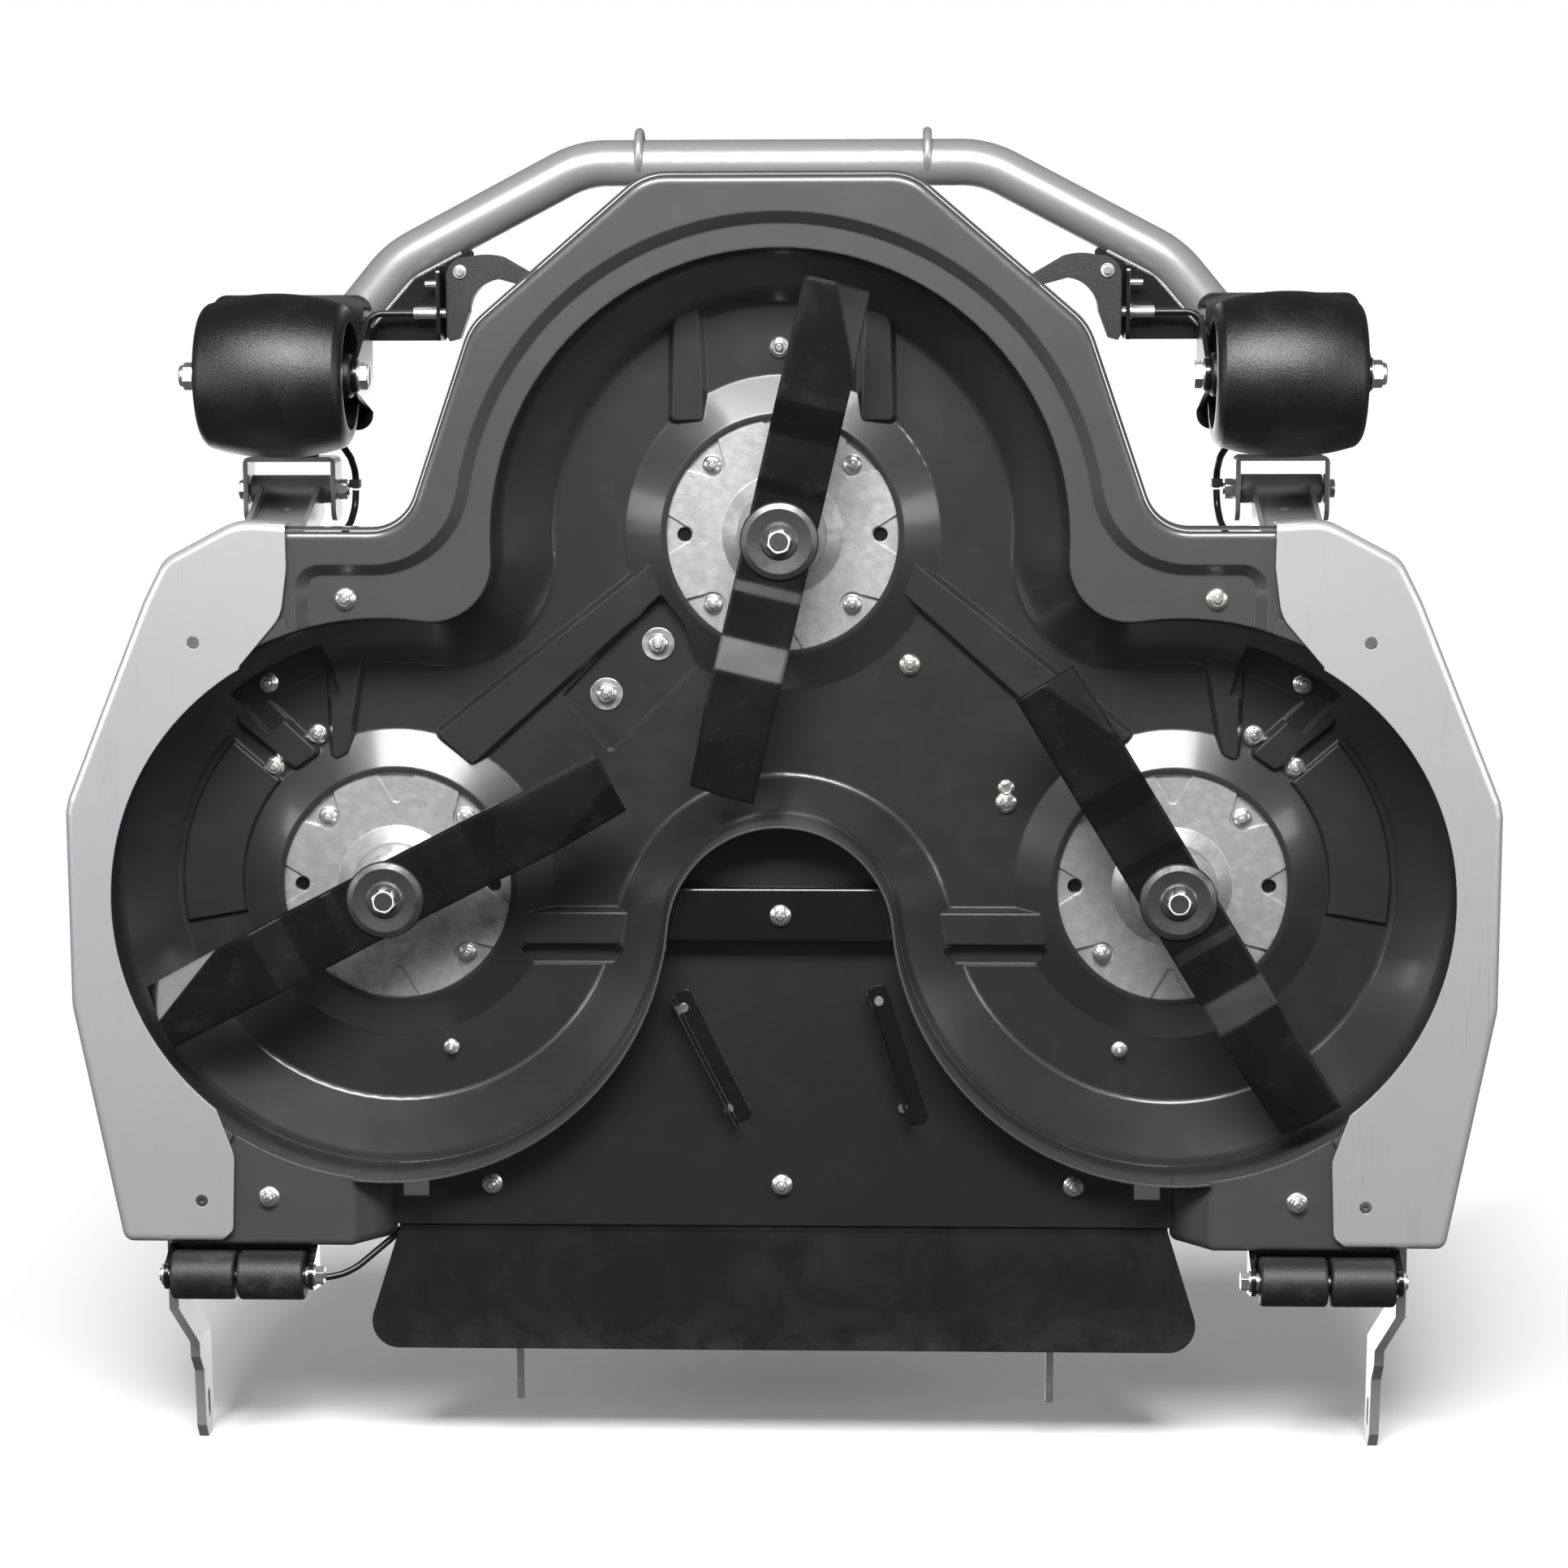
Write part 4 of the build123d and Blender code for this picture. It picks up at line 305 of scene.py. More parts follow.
    def finish(self, base: object, rough: object, metal: float = 0.0, coat: float = 0.0,
               coat_rough: float = 0.1, round_edges: float = 0.0,
               specular: float = 0.5) -> bpy.types.Material:
        """Connects the surface and closes the material.

        Args:
            base: Base colour.
            rough: Roughness.
            metal: Metallic share.
            coat: Clear coat weight.
            coat_rough: Roughness of the clear coat.
            round_edges: Radius that softens sharp edges, in metres.
            specular: Specular level.

        Returns:
            The material.
        """
        sockets = self.surface.inputs
        self.feed(sockets["Base Color"], base)
        self.feed(sockets["Roughness"], rough)
        sockets["Metallic"].default_value = metal
        sockets["Coat Weight"].default_value = coat
        sockets["Coat Roughness"].default_value = coat_rough
        sockets["Specular IOR Level"].default_value = specular
        normal: Wire | None = None
        if round_edges:
            rounded = self.node("ShaderNodeBevel", {"samples": BEVEL_SAMPLES}, {"Radius": round_edges})
            normal = Wire(self, rounded.outputs[0])
        for height, distance, strength in self._heights:
            inputs: dict = {"Height": height, "Distance": distance, "Strength": strength}
            if normal is not None:
                inputs["Normal"] = normal
            normal = Wire(self, self.node("ShaderNodeBump", inputs=inputs).outputs[0])
        if normal is not None:
            self.feed(sockets["Normal"], normal)
        return self.material


# Finishes


@dataclass(frozen=True)
class GlossPaint:
    """Baked gloss paint on pressed steel."""

    name: str
    colour: Colour
    chip: Colour
    gloss: float = 0.30
    coat: float = 0.35
    dust: float = 0.15
    edge: float = 0.0012
    wear: float = 0.35
    coat_rough: float = 0.07
    # Colour of the painted shade higher up in the chambers, and the height and span over which it sets in.
    painted_recess_shade: Colour | None = None
    painted_shade_from: float = 0.056
    painted_shade_fade: float = 0.02

    def make(self) -> bpy.types.Material:
        """Builds the material."""
        r = Recipe(self.name)
        cloud = r.noise(6.0, 4.0, 0.6)
        fine = r.noise(900.0, 2.0)
        film = r.noise(22.0, 5.0, 0.65, warp=0.6).span(0.48, 0.75)
        rim = (r.edges(self.edge) * r.noise(60.0, 4.0, 0.7).span(0.35, 0.75) * self.wear).clamped()
        pale = tuple(min(1.0, c * 1.9 + 0.02) for c in self.colour)
        ground: object = self.colour
        # Painted shade: above a set height the colour turns darker, standing in for the shade deep in the
        # cutting chambers.
        if self.painted_recess_shade is not None:
            depth = r.axis("Z").span(self.painted_shade_from, self.painted_shade_from + self.painted_shade_fade)
            ground = r.blend(depth, self.colour, self.painted_recess_shade)
        base = r.blend(film * self.dust, ground, pale)
        base = r.blend(rim, base, self.chip)
        rough = (self.gloss + (cloud - 0.5) * 0.12 + film * 0.18 * self.dust * 4.0).clamped()
        r.dent(fine, 0.00004, 0.25)
        r.dent(r.noise(140.0, 2.0), 0.0002, 0.12)
        return r.finish(base, rough, coat=self.coat, coat_rough=self.coat_rough, round_edges=self.edge)


@dataclass(frozen=True)
class FlakePaint:
    """Silver paint with metal flake."""

    name: str
    colour: Colour
    dark: Colour
    rough: float = 0.42
    metal: float = 0.55
    scratch: float = 0.0
    edge: float = 0.0015

    def make(self) -> bpy.types.Material:
        """Builds the material."""
        r = Recipe(self.name)
        flake = r.noise(2600.0, 1.0, 0.5).span(0.35, 0.75)
        cloud = r.noise(5.0, 4.0, 0.6).span(0.3, 0.75)
        base = r.blend(cloud * 0.25 + flake * 0.18, self.colour, tuple(c * 0.80 for c in self.colour))
        rough: Wire = self.rough + (flake - 0.5) * 0.10
        if self.scratch:
            lines = r.noise(5.0, 2.0, 0.5, stretch=(160.0, 3.0, 30.0)).span(0.62, 0.72)
            lines = lines * r.noise(7.0, 3.0).span(0.50, 0.68)
            scuff = r.noise(11.0, 5.0, 0.7, stretch=(2.5, 0.6, 1.0)).span(0.60, 0.78)
            mark = (lines * 0.8 + scuff * 0.35).clamped() * self.scratch
            base = r.blend(mark, base, self.dark)
            rough = (rough + mark * 0.15).clamped()
            r.dent(lines, 0.00008, 0.35)
        # Painted highlight: every edge turns to a lighter copy of the colour, standing in for light caught on
        # the edges.
        rim = r.edges(self.edge) * 0.45
        base = r.blend(rim, base, tuple(min(1.0, c * 1.25) for c in self.colour))
        r.dent(r.noise(1400.0, 2.0), 0.00003, 0.3)
        return r.finish(base, rough, metal=self.metal, coat=0.25, coat_rough=0.25, round_edges=self.edge)


@dataclass(frozen=True)
class PlatedSteel:
    """Zinc plated or bare machined steel."""

    name: str
    colour: Colour
    stain: Colour
    rough: float = 0.28
    patch: float = 60.0
    stained: float = 0.35

    def make(self) -> bpy.types.Material:
        """Builds the material."""
        r = Recipe(self.name)
        patch = r.noise(self.patch, 4.0, 0.65).span(0.42, 0.72)
        base = r.blend(patch * self.stained, self.colour, self.stain)
        rough = (self.rough + patch * 0.22).clamped()
        r.dent(r.noise(500.0, 3.0), 0.00006, 0.3)
        return r.finish(base, rough, metal=1.0, round_edges=0.0005)


@dataclass(frozen=True)
class CastAluminium:
    """Sand cast aluminium with a mottled skin."""

    name: str
    bright: Colour
    dull: Colour

    def make(self) -> bpy.types.Material:
        """Builds the material."""
        r = Recipe(self.name)
        blotch = r.noise(26.0, 6.0, 0.62, warp=1.4).span(0.38, 0.66)
        crystals = r.cells(85.0)
        speck = r.noise(700.0, 2.0).span(0.55, 0.75)
        tone = (blotch * 0.75 + (crystals.span(0.05, 0.6)) * 0.3).clamped()
        base = r.blend(tone, self.bright, self.dull)
        base = r.blend(speck * 0.35, base, tuple(c * 0.55 for c in self.dull))
        rough = (0.36 + blotch * 0.18 + speck * 0.1).clamped()
        r.dent(r.noise(420.0, 4.0, 0.6), 0.00025, 0.45)
        r.dent(blotch, 0.0002, 0.3)
        return r.finish(base, rough, metal=0.85, round_edges=0.0012)


@dataclass(frozen=True)
class BladeBlack:
    """Black blade steel with a worn sheen."""

    name: str
    colour: Colour
    worn: Colour

    def make(self) -> bpy.types.Material:
        """Builds the material."""
        r = Recipe(self.name)
        smear = r.noise(9.0, 5.0, 0.6, warp=0.8).span(0.45, 0.75)
        rub = r.noise(30.0, 4.0, 0.7, stretch=(1.0, 1.0, 4.0)).span(0.58, 0.8)
        rim = r.edges(0.0014) * r.noise(40.0, 3.0).span(0.35, 0.75)
        base = r.blend((rub * 0.15 + rim * 0.3).clamped(), self.colour, self.worn)
        rough = (0.30 + smear * 0.16 + rub * 0.12).clamped()
        r.dent(r.noise(13.0, 1.0), 0.006, 0.35)
        r.dent(r.noise(600.0, 3.0), 0.00006, 0.2)
        return r.finish(base, rough, coat=0.5, coat_rough=0.06, round_edges=0.006, specular=0.25)


@dataclass(frozen=True)
class TurnedSteel:
    """Steel face turned in a lathe, with rings round a vertical axis."""

    name: str
    colour: Colour
    dark: Colour
    centres: tuple[tuple[float, float], ...]

    def make(self) -> bpy.types.Material:
        """Builds the material."""
        r = Recipe(self.name)
        split = r.node("ShaderNodeSeparateXYZ", inputs={0: r.point()})
        x, y = Wire(r, split.outputs[0]), Wire(r, split.outputs[1])
        reach: Wire | None = None
        for cx, cy in self.centres:
            distance = ((x - cx) ** 2.0 + (y - cy) ** 2.0) ** 0.5
            reach = distance if reach is None else reach.at_most(distance)
        ring = r.node("ShaderNodeCombineXYZ", inputs={0: reach})
        grooves = r.node("ShaderNodeTexNoise", {"noise_dimensions": "3D"}, {
            "Vector": Wire(r, ring.outputs[0]), "Scale": 1400.0, "Detail": 3.0, "Roughness": 0.7})
        lines = Wire(r, grooves.outputs["Fac"])
        soot = r.noise(50.0, 5.0, 0.65).span(0.40, 0.70)
        base = r.blend((soot * 0.7 + lines.span(0.4, 0.6) * 0.25).clamped(), self.colour, self.dark)
        rough = (0.30 + lines * 0.15 + soot * 0.15).clamped()
        r.dent(lines, 0.00012, 0.5)
        return r.finish(base, rough, metal=0.9, round_edges=0.0008)


@dataclass(frozen=True)
class Rubber:
    """Black rubber with dust and specks."""

    name: str
    colour: Colour
    dusty: Colour
    rough: float = 0.55
    dust: float = 0.35
    low_edge: float | None = None

    def make(self) -> bpy.types.Material:
        """Builds the material."""
        r = Recipe(self.name)
        cloud = r.noise(9.0, 6.0, 0.62, warp=0.8).span(0.42, 0.72)
        specks = 1.0 - r.cells(160.0).span(0.02, 0.11)
        thin = r.noise(14.0, 3.0).span(0.52, 0.62)
        mark = cloud * 0.35 + specks * thin * 0.8
        if self.low_edge is not None:
            near = r.axis("Y").span(self.low_edge + 0.045, self.low_edge)
            mark = mark + near * r.noise(34.0, 5.0, 0.7).span(0.38, 0.70) * 0.9
        base = r.blend(mark.clamped() * self.dust, self.colour, self.dusty)
        rough = (self.rough + cloud * 0.15).clamped()
        r.dent(r.noise(700.0, 3.0), 0.0001, 0.35)
        return r.finish(base, rough, round_edges=0.0008, specular=0.22)


@dataclass(frozen=True)
class MouldedPlastic:
    """Black moulded plastic with a fine grained skin."""

    name: str
    colour: Colour
    scuffed: Colour
    rough: float = 0.42
    grain: float = 0.5
    scuff: float = 0.25

    def make(self) -> bpy.types.Material:
        """Builds the material."""
        r = Recipe(self.name)
        pebble = r.noise(950.0, 2.0, 0.5)
        coarse = r.noise(330.0, 2.0)
        rub = r.noise(24.0, 5.0, 0.68, warp=0.5).span(0.50, 0.78)
        base = r.blend(rub * self.scuff, self.colour, self.scuffed)
        rough = (self.rough + (pebble - 0.5) * 0.25 + rub * 0.12).clamped()
        r.dent(pebble, 0.0004, self.grain)
        r.dent(coarse, 0.0005, self.grain * 0.5)
        return r.finish(base, rough, round_edges=0.0012)


RIGHT_SPINDLE = (401.0, 0.0)
LEFT_SPINDLE = (-401.0, 0.0)
FRONT_SPINDLE = (0.0, 363.4)
SPINDLES = {"front": FRONT_SPINDLE, "right": RIGHT_SPINDLE, "left": LEFT_SPINDLE}
SPINDLE_AXES = tuple((x * MM, (y + REAR_LINE_Y) * MM) for x, y in SPINDLES.values())

# The deck paint turns darker higher up, as painted shade inside the chambers.
DECK_PAINT = GlossPaint("deck_paint", (0.042, 0.042, 0.043), (0.15, 0.15, 0.15), gloss=0.34, coat=0.3,
                        coat_rough=0.12, dust=0.04, edge=0.003, wear=0.16, painted_recess_shade=(0.015, 0.015, 0.0155))
# Darker copy of the deck paint for the chute plate: painted shade for the rear tunnel.
PLATE_PAINTED_SHADE = GlossPaint("plate_painted_shade", (0.010, 0.010, 0.0105), (0.08, 0.08, 0.08), gloss=0.34, coat=0.3,
                         coat_rough=0.15, dust=0.04, edge=0.002, wear=0.15)
DARK_PAINT = GlossPaint("dark_paint", (0.003, 0.003, 0.0032), (0.06, 0.06, 0.06), gloss=0.26, coat=0.4,
                        dust=0.02, edge=0.0018, wear=0.25)
SKIRT_PAINT = FlakePaint("skirt_paint", (0.44, 0.44, 0.45), (0.16, 0.16, 0.18), scratch=0.75)
FRAME_PAINT = FlakePaint("frame_paint", (0.33, 0.33, 0.33), (0.14, 0.14, 0.15), rough=0.36, scratch=0.25)
ZINC = PlatedSteel("zinc", (0.80, 0.80, 0.78), (0.36, 0.35, 0.33))
CAST = CastAluminium("cast_aluminium", (0.66, 0.66, 0.66), (0.34, 0.34, 0.345))
BLADE = BladeBlack("blade_black", (0.0025, 0.0025, 0.0028), (0.04, 0.039, 0.038))
CUP = TurnedSteel("cup_steel", (0.13, 0.13, 0.13), (0.03, 0.03, 0.03), SPINDLE_AXES)
BRIGHT = PlatedSteel("bright_steel", (0.92, 0.92, 0.91), (0.55, 0.54, 0.52), rough=0.5, stained=0.25)
DIM = PlatedSteel("dim_steel", (0.26, 0.26, 0.26), (0.10, 0.10, 0.10), rough=0.35)
SHAFT = TurnedSteel("shaft_steel", (0.55, 0.55, 0.54), (0.25, 0.24, 0.23), SPINDLE_AXES)
FLAP = Rubber("flap_rubber", (0.0028, 0.0028, 0.0028), (0.09, 0.088, 0.085), rough=0.5, dust=0.16,
              low_edge=-0.5635)
BELT = Rubber("belt_rubber", (0.014, 0.014, 0.014), (0.09, 0.085, 0.08), rough=0.7, dust=0.6)
WHEEL = MouldedPlastic("wheel_plastic", (0.003, 0.003, 0.0033), (0.02, 0.02, 0.02), rough=0.36, grain=0.9)
HANDLE = MouldedPlastic("handle_plastic", (0.006, 0.006, 0.0062), (0.03, 0.03, 0.03), rough=0.45)
ROLLER = MouldedPlastic("roller_plastic", (0.007, 0.0068, 0.0065), (0.07, 0.068, 0.065), rough=0.5, scuff=0.5)
SHEATH = MouldedPlastic("cable_sheath", (0.005, 0.005, 0.005), (0.03, 0.03, 0.03), rough=0.35, grain=0.15)


def dress(frame: dict, finish: object, names: Iterable[str]) -> None:
    """Gives CAD nodes one finish.

    Args:
        finish: A finish with a make method.
        names: Node names.
    """
    material = finish.make()
    for name in names:
        node = frame["nodes"][name]
        node.data.materials.clear()
        node.data.materials.append(material)
        for face in node.data.polygons:
            face.material_index = 0
    log.info("%s on %s", finish.name, ", ".join(names))


# Mesh building


def hexagon(flats: float) -> Callable[[float], float]:
    """Radius of a hexagon at an angle.

    Args:
        flats: Half of its width across flats in millimetres.

    Returns:
        A function from an angle to a radius.
    """
    sixth = math.pi / 3

    def radius(angle: float) -> float:
        """Radius at the angle."""
        return flats / math.cos((angle + sixth / 2) % sixth - sixth / 2)

    return radius


def chamfered(flats: float, round_r: float) -> Callable[[float], float]:
    """Radius of a hexagon whose corners are turned down to a circle."""
    plain = hexagon(flats)
    return lambda angle: min(plain(angle), round_r)


class Maker:
    """Collects the mesh of one piece, in millimetres, and places it in the scene in metres."""

    def __init__(self, name: str, body: str, slot: str) -> None:
        """Starts a piece.

        Args:
            name: Piece name.
            body: Body that it rides on.
            slot: Record slot name; not used.
        """
        self.name = name
        self.body = body
        self.slot = slot
        self.mesh = bmesh.new()

    def turned(self, place: Vector, axis: Vector, rings: Sequence[tuple[float, object]], steps: int = 36,
               spin: float = 0.0) -> None:
        """Adds a closed turned or hexagonal form.

        Args:
            place: Its seat in metres.
            axis: Direction in which it stands out.
            rings: Height and radius in millimetres, where a radius may be a function of the angle.
            steps: Points round each ring.
            spin: Turn about the axis in radians.
        """
        turn = axis.to_track_quat("Z", "Y").to_matrix() @ Matrix.Rotation(spin, 3, "Z")
        loops = []
        for height, radius in rings:
            loop = []
            for step in range(steps):
                angle = 2 * math.pi * step / steps
                reach = radius(angle) if callable(radius) else radius
                local = Vector((reach * math.cos(angle), reach * math.sin(angle), height)) * MM
                loop.append(self.mesh.verts.new(place + turn @ local))
            loops.append(loop)
        for low, high in zip(loops, loops[1:]):
            for step in range(steps):
                after = (step + 1) % steps
                self.mesh.faces.new((low[step], low[after], high[after], high[step]))
        self.mesh.faces.new(list(reversed(loops[0])))
        self.mesh.faces.new(loops[-1])

    def flange_nut(self, place: Vector, axis: Vector, size: float = 1.0, spin: float = 0.0) -> None:
        """Adds a hexagon nut with a flange and a thread locking ring.

        Args:
            place: Its seat in metres.
            axis: Direction in which it stands out.
            size: Its size, 1 for M10.
            spin: Turn about the axis in radians.
        """
        rings = [(0.0, 9.8), (0.15, 10.9), (1.1, 10.9), (1.7, 10.4), (2.9, 8.9), (3.3, chamfered(7.5, 8.6)),
                 (3.6, hexagon(7.5)), (7.4, hexagon(7.5)), (8.2, chamfered(7.5, 7.9)), (8.5, 7.1), (9.0, 6.7),
                 (9.0, 6.1), (8.4, 5.6), (8.3, 4.2)]
        self.turned(place, axis, [(h * size, self._scaled(r, size)) for h, r in rings], 48, spin)

    @staticmethod
    def _scaled(radius: object, size: float) -> object:
        """A radius, or a function that gives one, at a size."""
        if callable(radius):
            return lambda angle: radius(angle) * size
        return radius * size

    def stud(self, place: Vector, axis: Vector, first: float, last: float, radius: float,
             pitch: float = 1.5) -> None:
        """Adds a threaded end.

        Args:
            place: Point that the heights are counted from, in metres.
            axis: Direction in which it stands out.
            first: Height of its foot in millimetres.
            last: Height of its end in millimetres.
            radius: Thread radius in millimetres.
            pitch: Distance between threads in millimetres.
        """
        rings: list[tuple[float, object]] = [(first, radius - 0.8)]
        height = first + 0.2
        while height < last - 1.2:
            rings += [(height, radius - 0.75), (height + pitch * 0.45, radius)]
            rings += [(height + pitch * 0.55, radius)]
            height += pitch
        rings += [(last - 0.9, radius - 0.6), (last, radius - 1.4)]
        self.turned(place, axis, rings, 20)

    def head(self, place: Vector, axis: Vector, flats: float, height: float, washer: float = 0.0,
             spin: float = 0.0) -> None:
        """Adds a hexagon head, with a washer under it if one is given.

        Args:
            place: Its seat in metres.
            axis: Direction in which it stands out.
            flats: Half of its width across flats in millimetres.
            height: Height of the head in millimetres.
            washer: Washer radius in millimetres.
            spin: Turn about the axis in radians.
        """
        lift = 0.0
        if washer:
            lift = WASHER_THICK
            self.turned(place, axis, [(0.0, washer - 0.3), (0.3, washer), (lift - 0.3, washer),
                                      (lift, washer - 0.4)])
        plain, cut = hexagon(flats), chamfered(flats, flats * 1.06)
        top = lift + height
        rings = [(lift, flats * 0.97), (lift + 0.4, flats * 0.99), (lift + 0.5, plain), (top - 1.3, plain),
                 (top - 0.4, cut), (top, flats * 0.94), (top - 0.3, flats * 0.80)]
        self.turned(place, axis, rings, 48, spin)

    def bead(self, points: Sequence[Vector], radius: float, ripple: float = 2.6) -> None:
        """Adds a weld bead along a path.

        Args:
            points: The path in metres.
            radius: Half of its width in millimetres.
            ripple: Distance between its ripples in millimetres.
        """
        lengths = [(b - a).length for a, b in zip(points, points[1:])]
        total = sum(lengths)
        count = max(6, int(total / (ripple * MM / 4)))
        loops = []
        for number in range(count + 1):
            left = total * number / count
            index = 0
            while index < len(lengths) - 1 and left > lengths[index]:
                left -= lengths[index]
                index += 1
            along = (points[index + 1] - points[index]).normalized()
            place = points[index] + along * left
            turn = along.to_track_quat("Z", "Y").to_matrix()
            near_end = min(number, count - number)
            swell = 1.0 + 0.13 * math.sin(2 * math.pi * number / 4) if near_end else 0.35
            loop = []
            for step in range(10):
                angle = 2 * math.pi * step / 10
                reach = radius * swell * MM
                loop.append(self.mesh.verts.new(place + turn @ Vector((reach * math.cos(angle),
                                                                       reach * math.sin(angle), 0))))
            loops.append(loop)
        for low, high in zip(loops, loops[1:]):
            for step in range(10):
                after = (step + 1) % 10
                self.mesh.faces.new((low[step], low[after], high[after], high[step]))
        self.mesh.faces.new(list(reversed(loops[0])))
        self.mesh.faces.new(loops[-1])

    def done(self, material: bpy.types.Material, replaced: Sequence[str] = ()) -> bpy.types.Object:
        """Places the piece in the scene.

        Args:
            material: Its material.
            replaced: CAD nodes that it stands for.

        Returns:
            The new object.
        """
        data = bpy.data.meshes.new(self.name)
        self.mesh.normal_update()
        self.mesh.to_mesh(data)
        self.mesh.free()
        for face in data.polygons:
            face.use_smooth = True
        data.set_sharp_from_angle(angle=math.radians(32))
        data.materials.append(material)
        obj = bpy.data.objects.new(self.name, data)
        bpy.context.collection.objects.link(obj)
        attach(obj, self.body)
        if replaced:
            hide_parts(*replaced)
        log.info("%s: %d faces on %s", self.name, len(data.polygons), self.body)
        return obj


# Stage


@dataclass(frozen=True)
class AreaLamp:
    """A rectangular lamp: where it hangs, what it points at, its width and height, and its power."""

    name: str
    place: Point
    aim: Point
    size: tuple[float, float]
    watts: float


@dataclass
class Studio:
    """Pale floor and backdrop, lamps and the camera."""

    camera_place: Point = (-0.12751, 0.53176, -3.48663)
    camera_turn: Point = (3.000544, -0.034453, -3.138739)
    camera_lens: float = 81.71
    white: Colour = (0.90, 0.90, 0.90)
    sky_level: float = 0.12
    floor_share: float = 0.35
    reach: float = 9.0
    wall_z: float = 1.6
    depth_fade: tuple[float, float] = (0.75, 1.2)
    side_fade: tuple[float, float] = (0.66, 0.98)
    lamps: tuple[AreaLamp, ...] = (
        AreaLamp("key", (0.1, 2.4, -2.8), (0, -0.1, 0.1), (2.6, 1.0), 330),
        AreaLamp("strip_right", (3.0, 0.6, -1.6), (0, 0, 0.1), (0.5, 2.6), 42),
        AreaLamp("strip_left", (-3.0, 0.6, -1.6), (0, 0, 0.1), (0.5, 2.6), 42),
        AreaLamp("overhead", (0.6, -0.6, 3.2), (0, 0, 0), (2.4, 2.4), 60))

    def one_sided(self, name: str, shade: float,
                  fade: tuple[float, float] | None = None) -> bpy.types.Material:
        """White material seen only from the side that its faces point to.

        Args:
            name: Material name.
            shade: How much of its own light it adds for the camera.
            fade: Heights between which it turns to pure white, in metres.

        Returns:
            The material.
        """
        r = Recipe(name)
        r.surface.inputs["Base Color"].default_value = (*self.white, 1.0)
        r.surface.inputs["Roughness"].default_value = 0.9
        back = Wire(r, r.node("ShaderNodeNewGeometry").outputs["Backfacing"])
        clear = r.node("ShaderNodeBsdfTransparent")
        glow = r.node("ShaderNodeEmission", inputs={"Color": (1.0, 1.0, 1.0), "Strength": 1.0})
        share: object = shade
        if fade is not None:
            across = r.axis("X")
            beside = across.at_least(across * -1.0).span(*self.side_fade)
            share = r.axis("Z").span(*fade).at_least(beside) * (1.0 - shade) + shade
        lit = r.node("ShaderNodeMixShader", inputs={0: share})
        r.tree.links.new(r.surface.outputs[0], lit.inputs[1])
        r.tree.links.new(glow.outputs[0], lit.inputs[2])
        mix = r.node("ShaderNodeMixShader", inputs={0: back})
        r.tree.links.new(lit.outputs[0], mix.inputs[1])
        r.tree.links.new(clear.outputs[0], mix.inputs[2])
        out = r.tree.nodes["Material Output"]
        r.tree.links.new(mix.outputs[0], out.inputs["Surface"])
        return r.material

    def sheet(self, name: str, corners: Sequence[Point], material: bpy.types.Material) -> bpy.types.Object:
        """A flat stage surface that only the camera sees.

        Args:
            name: Object name.
            corners: Corners, anticlockwise from the side that is seen.
            material: Its material.

        Returns:
            The stage object.
        """
        mesh = bpy.data.meshes.new(name)
        mesh.from_pydata([Vector(c) for c in corners], [], [tuple(range(len(corners)))])
        mesh.materials.append(material)
        obj = bpy.data.objects.new(name, mesh)
        bpy.context.collection.objects.link(obj)
        obj.visible_shadow = False
        obj.visible_glossy = False
        obj.visible_diffuse = False
        obj.visible_transmission = False
        return obj

    def hang(self, lamp: AreaLamp) -> None:
        """Hangs one lamp.

        Args:
            lamp: Its place, aim, size and power.
        """
        data = bpy.data.lights.new(lamp.name, "AREA")
        data.shape = "RECTANGLE"
        data.size, data.size_y = lamp.size
        data.energy = lamp.watts
        obj = bpy.data.objects.new(lamp.name, data)
        obj.location = lamp.place
        obj.rotation_euler = (Vector(lamp.aim) - Vector(lamp.place)).to_track_quat("-Z", "Y").to_euler()
        bpy.context.collection.objects.link(obj)

    def build(self) -> None:
        """Builds the stage."""
        reach, wall_z = self.reach, self.wall_z
        floor = self.one_sided("stage_floor", self.floor_share)
        ground = self.one_sided("stage_ground", 0.0, fade=self.depth_fade)
        wall = self.one_sided("stage_wall", 1.0)
        self.sheet("floor", [(-30, -30, 0), (30, -30, 0), (30, 30, 0), (-30, 30, 0)], floor)
        tip = ARM_TIP_Y
        self.sheet("studio_floor", [(-reach, tip, -5), (-reach, tip, wall_z), (reach, tip, wall_z),
                                    (reach, tip, -5)], ground)
        self.sheet("studio_wall", [(-reach, tip, wall_z), (-reach, reach, wall_z), (reach, reach, wall_z),
                                   (reach, tip, wall_z)], wall)
        self.sky()
        for lamp in self.lamps:
            self.hang(lamp)
        self.shoot()

    def sky(self) -> None:
        """A plain level of light from all round, which the camera sees as white."""
        world = bpy.data.worlds.new("studio")
        world.use_nodes = True
        nodes = world.node_tree.nodes
        background = nodes["Background"]
        background.inputs["Color"].default_value = (1.0, 1.0, 1.0, 1.0)
        path = nodes.new("ShaderNodeLightPath")
        level = nodes.new("ShaderNodeMapRange")
        level.inputs[3].default_value = self.sky_level
        level.inputs[4].default_value = 1.0
        world.node_tree.links.new(path.outputs["Is Camera Ray"], level.inputs[0])
        world.node_tree.links.new(level.outputs[0], background.inputs["Strength"])
        bpy.context.scene.world = world

    def shoot(self) -> None:
        """Places the camera."""
        data = bpy.data.cameras.new("camera")
        data.lens = self.camera_lens
        data.sensor_width = 36.0
        data.clip_end = 100.0
        camera = bpy.data.objects.new("camera", data)
        camera.location = self.camera_place
        camera.rotation_euler = self.camera_turn
        bpy.context.collection.objects.link(camera)
        bpy.context.scene.camera = camera
        bpy.context.scene.view_settings.view_transform = "Standard"
        log.info("stage built")


